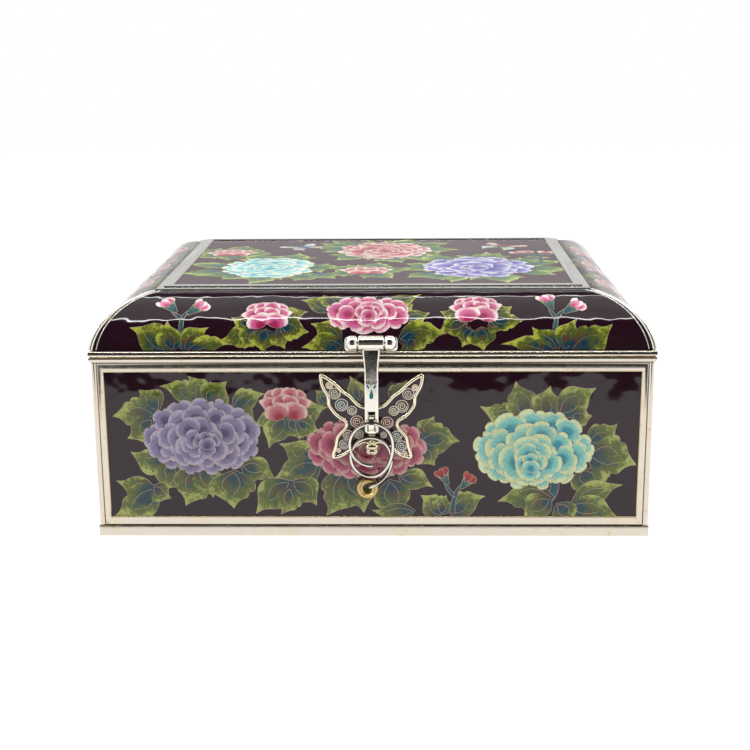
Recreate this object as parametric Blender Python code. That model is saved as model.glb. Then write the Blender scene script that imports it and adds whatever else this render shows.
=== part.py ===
"""Silver-mounted cloisonne enamel box with a hinged lid, a hinged hasp and a butterfly lock plate.

Lengths below are in millimetres and become metres when a mesh is made. The origin is under the middle
of the box, +Z is up and the front faces -Y.
"""

import math

import bmesh
import bpy
from mathutils import Matrix, Vector

MM = 0.001
GAP = 0.3

# Driving dimensions of the body
HALF_WIDTH = 100.0
HALF_DEPTH = 81.0
FOOT_TOP = 3.9
FOOT_PROUD = 0.2
FOOT_THICKNESS = 2.0
FOOT_CHAMFER = 0.5
FRAME_BOTTOM = FOOT_TOP + GAP
FRAME_TOP = 65.0
FRAME_THICKNESS = 1.8
FRAME_LOWER_MEMBER = 3.0
FRAME_UPPER_MEMBER = 3.2
FRAME_SIDE_MEMBER = 2.2
POST_RADIUS = 1.0
POST_CLEARANCE = 0.1
PANEL_CLEARANCE = 0.15
ENAMEL_RECESS = 0.5
ENAMEL_THICKNESS = 1.3
WALL = 1.2
BOTTOM_PLATE = 1.2
FLOOR_BOTTOM = BOTTOM_PLATE + GAP
FLOOR_THICKNESS = 1.2
RIM_TOP = 67.0
RIM_PROUD = 0.6
MOULDING_BULGE = 0.9

# Driving dimensions of the lid
FLANGE_BOTTOM = RIM_TOP + GAP
FLANGE_TOP = 69.4
FLANGE_PROUD = 1.2
FLANGE_INSET = 3.9
COVE_RADIUS = 21.2
COVE_CENTRE_INSET = 21.1
COVE_CENTRE_HEIGHT = 66.0
COVE_STEPS = 14
LID_TOP = 88.7
TOP_FRAME_INSET = 20.6
TOP_FRAME_WIDTH = 5.6
TOP_FRAME_INNER_BAND = 3.0
TOP_FRAME_STEP = 0.25
TOP_FRAME_ROUNDING = 1.2
TOP_ENAMEL_DROP = 0.4
SHEET = 1.2
CORNER_WIRE_RADIUS = 0.95
CORNER_WIRE_GAP = 0.1

# Driving dimensions of the hasp and the lock plate, at the middle of the front
HASP_PIN_Y = -HALF_DEPTH - 2.7
HASP_PIN_HEIGHT = 72.9
HASP_BARREL_RADIUS = 2.6
HASP_PIN_RADIUS = 1.1
HASP_BARREL_HALF = 4.5
HASP_LUG_OUTER = 8.1
HASP_FOOT_OUTER = 9.4
HASP_FOOT_RISE = 2.2
HASP_PIN_PROUD = 0.5
HASP_FOOT_THICKNESS = 1.3
STRAP_BACK_Y = -HALF_DEPTH - 1.6
STRAP_THICKNESS = 1.2
STRAP_HALF_WIDTH = 2.45
STRAP_NECK_HALF_WIDTH = 3.0
STRAP_BOTTOM = 39.3
STRAP_END_CUT = 1.2
SLOT_HALF_WIDTH = 1.15
SLOT_BOTTOM = 41.0
SLOT_TOP = 47.4
PLATE_BACK_Y = -HALF_DEPTH + ENAMEL_RECESS - GAP
PLATE_THICKNESS = 1.2
PLATE_RIM = 1.25
PLATE_POCKET = 0.6
PLATE_ENAMEL_DROP = 0.2
PLATE_INLAY_GAP = 0.12
PLATE_MIDDLE = 0.3
EYE_Y = -HALF_DEPTH - 4.5
EYE_HEIGHT = 44.0
EYE_PLAY = 0.25
EYE_HOLE_RADIUS = 1.1
RING_WIRE_RADIUS = 0.7
RING_FRONT_RADIUS = 7.85
RING_BACK_RADIUS = 7.2
RING_TURNS = 1.75
RING_BACK_DROP = 5.1
RING_BACK_SHIFT = 0.4
RING_LOWERING = (0.62, 0.98)
RING_STEP_BACK = (0.85, 1.1)
RING_STEP_DEPTH = 1.75
RING_TAIL = (
    (7.0, 1.75, 29.0),
    (6.3, 1.7, 26.4),
    (5.1, 1.4, 24.2),
    (3.3, 0.8, 22.4),
    (1.3, 0.25, 21.1),
    (-0.3, 0.4, 20.2),
    (-1.2, 1.2, 19.8),
    (-1.5, 2.0, 19.6),
)
GOLD_RING_CENTRE = (-1.7, -HALF_DEPTH - 2.3, 19.15)
GOLD_RING_OUTER = 3.85
GOLD_RING_HOLE = 1.8
GOLD_RING_THICKNESS = 1.5

# Driving dimensions of the two lid hinges at the back
HINGE_Y = HALF_DEPTH + 3.0
HINGE_HEIGHT = 66.6
HINGE_X = 58.0
HINGE_LENGTH = 27.0
LEAF_BOTTOM = 55.5
HINGE_KNUCKLE_RADIUS = 1.5
HINGE_PIN_RADIUS = 0.7
HINGE_PIN_PROUD = 0.4
HINGE_LEAF_THICKNESS = 1.1
HINGE_PLAY = 0.1
HINGE_WEB_HEIGHT = 3.3
HINGE_WEB_DEPTH = 2.5
PIN_CLEARANCE = 0.2

# What each side needs: its name, its turn about Z, its distance from the middle and its half length
SIDES = (
    ("front", 0, HALF_DEPTH, HALF_WIDTH),
    ("right", 90, HALF_WIDTH, HALF_DEPTH),
    ("back", 180, HALF_DEPTH, HALF_WIDTH),
    ("left", -90, HALF_WIDTH, HALF_DEPTH),
)


def empty_the_scene():
    for obj in list(bpy.data.objects):
        bpy.data.objects.remove(obj, do_unlink=True)


def make_collection(name):
    collection = bpy.data.collections.new(name)
    bpy.context.scene.collection.children.link(collection)
    return collection


def make_material(name, colour, roughness, metallic):
    material = bpy.data.materials.new(name)
    material.use_nodes = True
    shader = material.node_tree.nodes["Principled BSDF"]
    shader.inputs["Base Color"].default_value = (*colour, 1)
    shader.inputs["Roughness"].default_value = roughness
    shader.inputs["Metallic"].default_value = metallic
    material.diffuse_color = (*colour, 1)
    return material


def finish_mesh(name, bm, material, collection=None, turn=0):
    """An object from a bmesh in millimetres, turned about Z by a whole number of degrees."""
    bmesh.ops.recalc_face_normals(bm, faces=bm.faces)
    bmesh.ops.scale(bm, vec=(MM, MM, MM), verts=bm.verts)
    mesh = bpy.data.meshes.new(name)
    bm.to_mesh(mesh)
    bm.free()
    obj = bpy.data.objects.new(name, mesh)
    (collection or parts).objects.link(obj)
    obj.rotation_euler.z = math.radians(turn)
    mesh.materials.append(material)
    mesh.shade_smooth()
    mesh.set_sharp_from_angle(angle=math.radians(35))
    return obj


def loft(sections, closed):
    """A bmesh through sections that have the same number of points, joined end to start or capped."""
    bm = bmesh.new()
    rows = [[bm.verts.new(point) for point in section] for section in sections]
    pairs = list(zip(rows, rows[1:]))
    if closed:
        pairs.append((rows[-1], rows[0]))
    else:
        bm.faces.new(rows[0])
        bm.faces.new(rows[-1])
    for first, second in pairs:
        for i in range(len(first)):
            j = (i + 1) % len(first)
            bm.faces.new((first[i], first[j], second[j], second[i]))
    return bm


def rectangle(half_x, half_y, z):
    return [(x * half_x, y * half_y, z) for x, y in ((-1, -1), (1, -1), (1, 1), (-1, 1))]


def mitred_band(half_x, half_y, profile):
    """A closed band around a rectangle. Each profile point is how far out it stands, and its height."""
    corners = ((-1, -1), (1, -1), (1, 1), (-1, 1))
    sections = [
        [(x * (half_x + out), y * (half_y + out), z) for out, z in profile] for x, y in corners
    ]
    return loft(sections, closed=True)


def half_round_profile(inner, outer, bottom, top, steps=4):
    """The section of a band that is square inside and rounded outside."""
    rise = (top - bottom) / 2
    middle = (top + bottom) / 2
    bulge = min(rise, MOULDING_BULGE)
    points = [(inner, bottom), (inner, top)]
    for i in range(steps + 1):
        angle = math.pi / 2 - math.pi * i / steps
        points.append((outer - bulge + bulge * math.cos(angle), middle + rise * math.sin(angle)))
    return points


def box(low, high):
    bm = bmesh.new()
    bmesh.ops.create_cube(bm, size=1)
    size = Vector(high) - Vector(low)
    bmesh.ops.scale(bm, vec=size, verts=bm.verts)
    bmesh.ops.translate(bm, vec=(Vector(high) + Vector(low)) / 2, verts=bm.verts)
    return bm


def rod_along_x(x_low, x_high, y, z, radius, sides=24):
    bm = bmesh.new()
    bmesh.ops.create_cone(
        bm,
        cap_ends=True,
        segments=sides,
        radius1=radius,
        radius2=radius,
        depth=x_high - x_low,
        matrix=Matrix.Translation(((x_low + x_high) / 2, y, z)) @ Matrix.Rotation(math.pi / 2, 4, "Y"),
    )
    return bm


def boolean(obj, tool, operation="DIFFERENCE"):
    """Cuts or joins with a tool, which stays in the scene as a hidden helper."""
    tool.hide_render = True
    tool.display_type = "WIRE"
    modifier = obj.modifiers.new(operation.title(), "BOOLEAN")
    modifier.operation = operation
    modifier.object = tool
    modifier.solver = "EXACT"


def helper(name, bm):
    return finish_mesh(name, bm, silver, cutters)


def mesh_from_curve(curve_object):
    """The curve's evaluated shape as a mesh object with welded caps, in place of the curve."""
    bpy.context.view_layer.update()
    graph = bpy.context.evaluated_depsgraph_get()
    mesh = bpy.data.meshes.new_from_object(curve_object.evaluated_get(graph))
    bm = bmesh.new()
    bm.from_mesh(mesh)
    bmesh.ops.remove_doubles(bm, verts=bm.verts, dist=0.001 * MM)
    bmesh.ops.recalc_face_normals(bm, faces=bm.faces)
    bm.to_mesh(mesh)
    bm.free()
    name = curve_object.name
    material = curve_object.data.materials[0]
    collection = curve_object.users_collection[0]
    place = curve_object.matrix_world.copy()
    bpy.data.objects.remove(curve_object, do_unlink=True)
    obj = bpy.data.objects.new(name, mesh)
    obj.matrix_world = place
    collection.objects.link(obj)
    mesh.materials.clear()
    mesh.materials.append(material)
    mesh.shade_smooth()
    mesh.set_sharp_from_angle(angle=math.radians(35))
    return obj


def wire(name, points, radius, material, cyclic=False, resolution=2):
    """A round wire along points in millimetres."""
    curve = bpy.data.curves.new(name, "CURVE")
    curve.dimensions = "3D"
    curve.bevel_depth = radius * MM
    curve.bevel_resolution = resolution
    curve.use_fill_caps = not cyclic
    spline = curve.splines.new("POLY")
    spline.points.add(len(points) - 1)
    for target, point in zip(spline.points, points):
        target.co = (*(Vector(point) * MM), 1)
    spline.use_cyclic_u = cyclic
    curve.materials.append(material)
    obj = bpy.data.objects.new(name, curve)
    parts.objects.link(obj)
    return obj


def upright_plate(name, outlines, back_y, thickness, material, collection=None):
    """A flat piece from outlines in the front's plane, as (x, z) points. A second outline is a hole."""
    curve = bpy.data.curves.new(name, "CURVE")
    curve.dimensions = "2D"
    curve.fill_mode = "BOTH"
    curve.extrude = thickness * MM / 2
    for outline in outlines:
        spline = curve.splines.new("POLY")
        spline.points.add(len(outline) - 1)
        for target, (x, z) in zip(spline.points, outline):
            target.co = (x * MM, z * MM, 0, 1)
        spline.use_cyclic_u = True
    curve.materials.append(material)
    obj = bpy.data.objects.new(name, curve)
    (collection or parts).objects.link(obj)
    obj.rotation_euler.x = math.pi / 2
    obj.location.y = (back_y - thickness / 2) * MM
    return mesh_from_curve(obj)


def smooth_span(before, start, end, after, steps):
    """Points from start up to, and without, end on a Catmull-Rom curve."""
    before, start, end, after = (Vector(point) for point in (before, start, end, after))
    points = []
    for step in range(steps):
        t = step / steps
        linear = (end - before) * t
        square = (2 * before - 5 * start + 4 * end - after) * t**2
        cube = (3 * start - before - 3 * end + after) * t**3
        points.append(tuple((2 * start + linear + square + cube) / 2))
    return points


def smooth_outline(points, steps=3):
    """A closed smooth curve through the points."""
    count = len(points)
    result = []
    for i in range(count):
        result += smooth_span(*(points[(i + k) % count] for k in (-1, 0, 1, 2)), steps)
    return result


def smooth_line(points, steps=2):
    """An open smooth curve through the points."""
    padded = [points[0], *points, points[-1]]
    result = []
    for i in range(len(points) - 1):
        result += smooth_span(*padded[i : i + 4], steps)
    return result + [points[-1]]


def distance_to_outline(point, outline):
    nearest = math.inf
    for start, end in zip(outline, outline[1:] + outline[:1]):
        start, along = Vector(start), Vector(end) - Vector(start)
        share = (Vector(point) - start).dot(along) / along.length_squared
        foot = start + along * min(1.0, max(0.0, share))
        nearest = min(nearest, (Vector(point) - foot).length)
    return nearest


def offset_outline(points, distance):
    """The anticlockwise outline moved inwards, without the points that a sharp tip leaves no room for."""
    count = len(points)
    moved = []
    for i, point in enumerate(points):
        here = Vector(point)
        ahead = (Vector(points[(i + 1) % count]) - here).normalized()
        behind = (here - Vector(points[i - 1])).normalized()
        along = (ahead + behind).normalized()
        inward = Vector((-along.y, along.x))
        target = here + inward * distance
        if distance_to_outline(target, points) > 0.97 * distance:
            moved.append(tuple(target))
    return moved


def cove_point(angle, radius):
    """(inset from the side, height) on the lid's curved side, the angle running from rim to top."""
    inset = COVE_CENTRE_INSET - radius * math.cos(angle)
    return inset, COVE_CENTRE_HEIGHT + radius * math.sin(angle)


COVE_START = math.asin((FLANGE_TOP + GAP - COVE_CENTRE_HEIGHT) / COVE_RADIUS)
COVE_END = math.acos((COVE_CENTRE_INSET - TOP_FRAME_INSET + GAP) / COVE_RADIUS)


def cove_angles(steps=COVE_STEPS):
    return [COVE_START + (COVE_END - COVE_START) * i / steps for i in range(steps + 1)]


# Body


def make_inner_box():
    """The silver box that holds the panels, open at the top."""
    half_x = HALF_WIDTH - FRAME_THICKNESS - GAP
    half_y = HALF_DEPTH - FRAME_THICKNESS - GAP
    floor = FLOOR_BOTTOM + FLOOR_THICKNESS
    sections = [
        rectangle(half_x - WALL, half_y - WALL, floor),
        rectangle(half_x - WALL, half_y - WALL, FRAME_TOP),
        rectangle(half_x, half_y, FRAME_TOP),
        rectangle(half_x, half_y, FLOOR_BOTTOM),
    ]
    finish_mesh("inner_box", loft(sections, closed=False), inner_silver)


def make_bottom_plate():
    """The flat sheet that closes the underside, inside the foot band."""
    half_x = HALF_WIDTH - FRAME_THICKNESS - GAP
    half_y = HALF_DEPTH - FRAME_THICKNESS - GAP
    finish_mesh("bottom_plate", box((-half_x, -half_y, 0), (half_x, half_y, BOTTOM_PLATE)), silver)


def make_foot_band():
    inner = FOOT_PROUD - FOOT_THICKNESS
    profile = [
        (inner, 0),
        (inner, FOOT_TOP),
        (FOOT_PROUD - FOOT_CHAMFER, FOOT_TOP),
        (FOOT_PROUD, FOOT_TOP - FOOT_CHAMFER),
        (FOOT_PROUD, FOOT_CHAMFER),
        (FOOT_PROUD - FOOT_CHAMFER, 0),
    ]
    finish_mesh("foot_band", mitred_band(HALF_WIDTH, HALF_DEPTH, profile), silver)


def make_body_rim():
    inner = -FRAME_THICKNESS - GAP - WALL
    profile = half_round_profile(inner, RIM_PROUD, FRAME_TOP + GAP, RIM_TOP)
    finish_mesh("body_rim", mitred_band(HALF_WIDTH, HALF_DEPTH, profile), silver)


def panel_opening(half_length):
    """The half length, bottom and top of the opening in a side's frame."""
    half = half_length - 2 * POST_RADIUS - POST_CLEARANCE - FRAME_SIDE_MEMBER
    return half, FRAME_BOTTOM + FRAME_LOWER_MEMBER, FRAME_TOP - FRAME_UPPER_MEMBER


def make_side_frame(name, turn, distance, half_length):
    """The flat silver frame that holds one side's panel."""
    opening, low, high = panel_opening(half_length)
    outer = half_length - 2 * POST_RADIUS - POST_CLEARANCE
    front, back = -distance, -distance + FRAME_THICKNESS
    outer_corners = ((-outer, FRAME_BOTTOM), (outer, FRAME_BOTTOM), (outer, FRAME_TOP), (-outer, FRAME_TOP))
    inner_corners = ((-opening, low), (opening, low), (opening, high), (-opening, high))
    sections = [
        [(ox, front, oz), (ix, front, iz), (ix, back, iz), (ox, back, oz)]
        for (ox, oz), (ix, iz) in zip(outer_corners, inner_corners)
    ]
    finish_mesh(f"{name}_frame", loft(sections, closed=True), silver, turn=turn)


def make_side_enamel(name, turn, distance, half_length):
    """One side's enamelled plate, set a little behind its frame."""
    opening, low, high = panel_opening(half_length)
    front = -distance + ENAMEL_RECESS
    bm = box(
        (-opening + PANEL_CLEARANCE, front, low + PANEL_CLEARANCE),
        (opening - PANEL_CLEARANCE, front + ENAMEL_THICKNESS, high - PANEL_CLEARANCE),
    )
    finish_mesh(f"{name}_enamel", bm, enamel, turn=turn)


def make_corner_posts():
    """A round wire up each corner of the body."""
    for depth_name, depth_sign in (("front", -1), ("back", 1)):
        for side_name, side_sign in (("left", -1), ("right", 1)):
            bm = bmesh.new()
            bmesh.ops.create_cone(
                bm,
                cap_ends=True,
                segments=16,
                radius1=POST_RADIUS,
                radius2=POST_RADIUS,
                depth=FRAME_TOP - FRAME_BOTTOM,
            )
            place = (
                side_sign * (HALF_WIDTH - POST_RADIUS),
                depth_sign * (HALF_DEPTH - POST_RADIUS),
                (FRAME_TOP + FRAME_BOTTOM) / 2,
            )
            bmesh.ops.translate(bm, vec=place, verts=bm.verts)
            finish_mesh(f"corner_post_{depth_name}_{side_name}", bm, silver)


# Lid


def make_lid_flange():
    profile = half_round_profile(-FLANGE_INSET, FLANGE_PROUD, FLANGE_BOTTOM, FLANGE_TOP)
    finish_mesh("lid_flange", mitred_band(HALF_WIDTH, HALF_DEPTH, profile), silver)


def make_lid_shell():
    """The sheet-silver dish under the lid's enamel, open below."""
    outer_radius = COVE_RADIUS - ENAMEL_THICKNESS - GAP
    inner_radius = outer_radius - SHEET
    bottom = FLANGE_TOP + GAP
    rings = []
    for radius, order in ((inner_radius, -1), (outer_radius, 1)):
        start = math.asin((bottom - COVE_CENTRE_HEIGHT) / radius)
        angles = [start + (math.pi / 2 - start) * i / COVE_STEPS for i in range(COVE_STEPS + 1)]
        for angle in angles[::order]:
            inset, height = cove_point(angle, radius)
            rings.append(rectangle(HALF_WIDTH - inset, HALF_DEPTH - inset, height))
    finish_mesh("lid_shell", loft(rings, closed=False), inner_silver)


def make_cove_enamel(name, turn, distance, half_length):
    """One of the lid's four curved enamel sides, mitred just short of the corner wires."""
    trim = (CORNER_WIRE_RADIUS + CORNER_WIRE_GAP) * math.sqrt(2)
    sections = []
    for angle in cove_angles():
        section = []
        for radius, ends in ((COVE_RADIUS, (-1, 1)), (COVE_RADIUS - ENAMEL_THICKNESS, (1, -1))):
            inset, height = cove_point(angle, radius)
            for end in ends:
                section.append((end * (half_length - inset - trim), -distance + inset, height))
        sections.append(section)
    finish_mesh(f"{name}_cove_enamel", loft(sections, closed=False), enamel, turn=turn)


def make_corner_wires():
    """A raised wire along each mitre of the lid's curved sides."""
    start = math.asin((FLANGE_TOP + GAP + CORNER_WIRE_RADIUS / 5 - COVE_CENTRE_HEIGHT) / COVE_RADIUS)
    for depth_name, depth_sign in (("front", -1), ("back", 1)):
        for side_name, side_sign in (("left", -1), ("right", 1)):
            points = []
            for i in range(COVE_STEPS + 1):
                angle = start + (COVE_END - start) * i / COVE_STEPS
                inset, height = cove_point(angle, COVE_RADIUS)
                x = side_sign * (HALF_WIDTH - inset)
                points.append((x, depth_sign * (HALF_DEPTH - inset), height))
            name = f"corner_wire_{depth_name}_{side_name}"
            mesh_from_curve(wire(name, points, CORNER_WIRE_RADIUS, silver))


def top_frame_bottom():
    """The lid's flat pieces lie just above the inner shell."""
    return COVE_CENTRE_HEIGHT + COVE_RADIUS - ENAMEL_THICKNESS


def make_top_frame():
    """The flat frame on top: an inner band, a slightly lower outer one and a rounded outer edge."""
    outer = -TOP_FRAME_INSET
    inner = outer - TOP_FRAME_WIDTH
    step = inner + TOP_FRAME_INNER_BAND
    low = top_frame_bottom()
    profile = [
        (inner, low),
        (inner, LID_TOP),
        (step, LID_TOP),
        (step + TOP_FRAME_STEP, LID_TOP - TOP_FRAME_STEP),
        (outer - TOP_FRAME_ROUNDING, LID_TOP - TOP_FRAME_STEP),
        (outer - TOP_FRAME_ROUNDING / 3, LID_TOP - TOP_FRAME_ROUNDING / 2),
        (outer, LID_TOP - TOP_FRAME_ROUNDING),
        (outer, low),
    ]
    finish_mesh("top_frame", mitred_band(HALF_WIDTH, HALF_DEPTH, profile), silver)


def make_top_enamel():
    inset = TOP_FRAME_INSET + TOP_FRAME_WIDTH + PANEL_CLEARANCE
    half_x, half_y = HALF_WIDTH - inset, HALF_DEPTH - inset
    top = LID_TOP - TOP_ENAMEL_DROP
    finish_mesh("top_enamel", box((-half_x, -half_y, top_frame_bottom()), (half_x, half_y, top)), enamel)


# Lid hinges at the back


def bored_hinge_half(name, knuckles, y, z, radius, hole, blocks, material):
    """Hinge knuckles, as spans along x, joined by blocks and bored for the pin."""
    obj = finish_mesh(name, rod_along_x(*knuckles[0], y, z, radius), material)
    joined = [rod_along_x(*span, y, z, radius) for span in knuckles[1:]]
    joined += [box(low, high) for low, high in blocks]
    for i, bm in enumerate(joined):
        boolean(obj, helper(f"{name}_join_{i}", bm), "UNION")
    low = min(span[0] for span in knuckles) - 1
    high = max(span[1] for span in knuckles) + 1
    boolean(obj, helper(f"{name}_bore", rod_along_x(low, high, y, z, hole)))


def make_lid_hinges():
    """Two hinges at the back: a leaf with two knuckles on the body and one knuckle on the lid's flange."""
    knuckle = HINGE_LENGTH / 3
    hole = HINGE_PIN_RADIUS + PIN_CLEARANCE
    leaf_back = HALF_DEPTH + GAP
    leaf_front = leaf_back + HINGE_LEAF_THICKNESS
    web_back = leaf_back + HINGE_LEAF_THICKNESS / 2
    web_low, web_high = HINGE_HEIGHT - GAP - HINGE_WEB_HEIGHT, HINGE_HEIGHT - GAP
    for side_name, side_sign in (("left", -1), ("right", 1)):
        low = side_sign * HINGE_X - HINGE_LENGTH / 2
        spans = [
            (low + i * knuckle + HINGE_PLAY, low + (i + 1) * knuckle - HINGE_PLAY) for i in range(3)
        ]
        leaf = ((spans[0][0], leaf_back, LEAF_BOTTOM), (spans[2][1], leaf_front, FRAME_TOP - GAP / 3))
        webs = [
            ((x_low, web_back, web_low), (x_high, HALF_DEPTH + HINGE_WEB_DEPTH, web_high))
            for x_low, x_high in (spans[0], spans[2])
        ]
        place = (HINGE_Y, HINGE_HEIGHT, HINGE_KNUCKLE_RADIUS, hole)
        bored_hinge_half(f"body_hinge_{side_name}", [spans[0], spans[2]], *place, [*webs, leaf], silver)
        lid_web = (
            (spans[1][0], HALF_DEPTH + FLANGE_PROUD + GAP, HINGE_HEIGHT + HINGE_KNUCKLE_RADIUS / 4),
            (spans[1][1], HINGE_Y, FLANGE_TOP + 2 * GAP),
        )
        bored_hinge_half(f"lid_hinge_{side_name}", [spans[1]], *place, [lid_web], silver)
        ends = (spans[0][0] - HINGE_PIN_PROUD, spans[2][1] + HINGE_PIN_PROUD)
        pin = rod_along_x(*ends, HINGE_Y, HINGE_HEIGHT, HINGE_PIN_RADIUS, sides=16)
        finish_mesh(f"hinge_pin_{side_name}", pin, silver)


# Hasp and lock plate


def make_hasp_lugs():
    """The two fixed knuckles of the hasp's hinge, each with a foot on the lid, and their pin."""
    hole = HASP_PIN_RADIUS + PIN_CLEARANCE
    start = HASP_BARREL_HALF + GAP
    for side_name, sign in (("left", -1), ("right", 1)):
        knuckle = sorted((sign * start, sign * HASP_LUG_OUTER))
        foot_low, foot_high = sorted((sign * start, sign * HASP_FOOT_OUTER))
        foot_back = -HALF_DEPTH - FOOT_PROUD
        foot = (
            (foot_low, foot_back - HASP_FOOT_THICKNESS, FLANGE_TOP + GAP),
            (foot_high, foot_back, HASP_PIN_HEIGHT + HASP_FOOT_RISE),
        )
        place = (HASP_PIN_Y, HASP_PIN_HEIGHT, HASP_BARREL_RADIUS, hole)
        bored_hinge_half(f"hasp_lug_{side_name}", [knuckle], *place, [foot], silver)
    half = HASP_LUG_OUTER + HASP_PIN_PROUD
    pin = rod_along_x(-half, half, HASP_PIN_Y, HASP_PIN_HEIGHT, HASP_PIN_RADIUS, sides=16)
    finish_mesh("hasp_pin", pin, silver)


def strap_outline():
    """The strap from its flared neck down to its rounded end."""
    right = [
        (STRAP_NECK_HALF_WIDTH, HASP_PIN_HEIGHT - 1.6),
        (STRAP_NECK_HALF_WIDTH, 68.5),
        (STRAP_HALF_WIDTH + 0.15, 65.5),
        (STRAP_HALF_WIDTH, 60.0),
        (STRAP_HALF_WIDTH, STRAP_BOTTOM + STRAP_END_CUT),
        (STRAP_HALF_WIDTH - STRAP_END_CUT / 3, STRAP_BOTTOM + STRAP_END_CUT / 3),
        (STRAP_HALF_WIDTH - STRAP_END_CUT, STRAP_BOTTOM),
    ]
    return right + [(-x, z) for x, z in reversed(right)]


def make_hasp():
    obj = finish_mesh(
        "hasp",
        rod_along_x(
            -HASP_BARREL_HALF, HASP_BARREL_HALF, HASP_PIN_Y, HASP_PIN_HEIGHT, HASP_BARREL_RADIUS
        ),
        silver,
    )
    strap = upright_plate(
        "hasp_strap_tool", [strap_outline()], STRAP_BACK_Y, STRAP_THICKNESS, silver, cutters
    )
    boolean(obj, strap, "UNION")
    slot = box(
        (-SLOT_HALF_WIDTH, STRAP_BACK_Y - STRAP_THICKNESS - 1, SLOT_BOTTOM),
        (SLOT_HALF_WIDTH, STRAP_BACK_Y + 1, SLOT_TOP),
    )
    boolean(obj, helper("hasp_slot_tool", slot))
    reach = HASP_BARREL_HALF + 1
    bore = rod_along_x(-reach, reach, HASP_PIN_Y, HASP_PIN_HEIGHT, HASP_PIN_RADIUS + PIN_CLEARANCE)
    boolean(obj, helper("hasp_bore_tool", bore))


def make_ring_eye():
    """The flat eye that stands out through the strap's slot and carries the wire ring."""
    half_thickness = SLOT_HALF_WIDTH - EYE_PLAY
    root_low, root_high = SLOT_BOTTOM + EYE_PLAY, SLOT_TOP - 2 * EYE_PLAY
    root = box(
        (-half_thickness, EYE_Y, root_low),
        (half_thickness, STRAP_BACK_Y - GAP / 3, root_high),
    )
    obj = finish_mesh("ring_eye", root, silver)
    nose_radius = (root_high - root_low) / 2
    nose_height = (root_high + root_low) / 2
    nose_y = EYE_Y + RING_WIRE_RADIUS
    nose = rod_along_x(-half_thickness, half_thickness, nose_y, nose_height, nose_radius)
    boolean(obj, helper("ring_eye_nose_tool", nose), "UNION")
    hole = rod_along_x(-SLOT_HALF_WIDTH, SLOT_HALF_WIDTH, EYE_Y, EYE_HEIGHT, EYE_HOLE_RADIUS)
    boolean(obj, helper("ring_eye_hole_tool", hole))


WING_EDGE = (
    (0.0, 49.0),
    (3.4, 49.7),
    (5.1, 50.9),
    (7.3, 53.4),
    (9.9, 55.3),
    (12.1, 57.6),
    (15.2, 60.0),
    (18.6, 61.3),
    (18.2, 56.6),
    (16.2, 52.7),
    (15.9, 49.5),
    (13.9, 46.4),
    (12.1, 44.7),
    (9.8, 43.1),
    (10.3, 41.0),
    (12.8, 38.2),
    (13.5, 34.8),
    (14.6, 31.3),
    (14.1, 29.5),
    (11.4, 30.0),
    (9.3, 31.0),
    (6.0, 33.4),
    (2.6, 35.4),
)
TAIL_KNOB = ((0.0, 31.0), (1.6, 31.2), (2.2, 32.2), (1.9, 33.4), (1.2, 34.1))


def butterfly_outline():
    """The whole plate, anticlockwise: the right edge from the tail up, then its mirror."""
    right = list(TAIL_KNOB) + list(reversed(WING_EDGE[1:]))
    left = [(-x, z) for x, z in reversed(right[1:])]
    return right + [WING_EDGE[0]] + left


def wing_pocket(sign):
    """The sunk part of one wing, inside the raised rim and up to the plate's middle."""
    right = list(reversed(WING_EDGE))
    left = [(-x, z) for x, z in reversed(right[:-1])]
    inner = offset_outline(smooth_outline(right + left, steps=2), PLATE_RIM)
    edge = [(x, z) for x, z in inner if x > PLATE_MIDDLE + PLATE_RIM / 2]
    pocket = edge + [(PLATE_MIDDLE, edge[-1][1]), (PLATE_MIDDLE, edge[0][1])]
    return [(sign * x, z) for x, z in pocket]


def make_butterfly_plate():
    outline = smooth_outline(butterfly_outline(), steps=2)
    plate = upright_plate("butterfly_plate", [outline], PLATE_BACK_Y, PLATE_THICKNESS, silver)
    face = PLATE_BACK_Y - PLATE_THICKNESS
    for side_name, sign in (("left", -1), ("right", 1)):
        pocket = wing_pocket(sign)
        tool = upright_plate(
            f"pocket_tool_{side_name}", [pocket], face + PLATE_POCKET, PLATE_POCKET + 1, silver, cutters
        )
        boolean(plate, tool)
        inlay = offset_outline(pocket if sign > 0 else list(reversed(pocket)), PLATE_INLAY_GAP)
        upright_plate(
            f"wing_enamel_{side_name}",
            [inlay],
            face + PLATE_POCKET - PLATE_ENAMEL_DROP / 2,
            PLATE_POCKET - 1.5 * PLATE_ENAMEL_DROP,
            enamel,
        )


def ease(value, start, end):
    """0 before start, 1 after end and a smooth rise between them."""
    share = min(1.0, max(0.0, (value - start) / (end - start)))
    return share * share * (3 - 2 * share)


def ring_point(turn):
    """A point on the wire ring after a share of turns: from the bottom, up the left and over the top."""
    angle = 2 * math.pi * turn
    lowered = ease(turn, *RING_LOWERING)
    radius = RING_FRONT_RADIUS + (RING_BACK_RADIUS - RING_FRONT_RADIUS) * lowered
    centre = EYE_HEIGHT - RING_FRONT_RADIUS - RING_BACK_DROP * lowered
    y = EYE_Y + RING_STEP_DEPTH * ease(turn, *RING_STEP_BACK)
    return (-radius * math.sin(angle) - RING_BACK_SHIFT * lowered, y, centre - radius * math.cos(angle))


def make_spiral_ring():
    """Two turns of round wire that hang from the eye, the loose end running on to the small ring."""
    steps = 64
    points = [ring_point(RING_TURNS * i / steps) for i in range(steps + 1)]
    tail = smooth_line([points[-1]] + [(x, EYE_Y + back, z) for x, back, z in RING_TAIL])
    wire("spiral_ring", points + tail[1:], RING_WIRE_RADIUS, silver)


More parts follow.
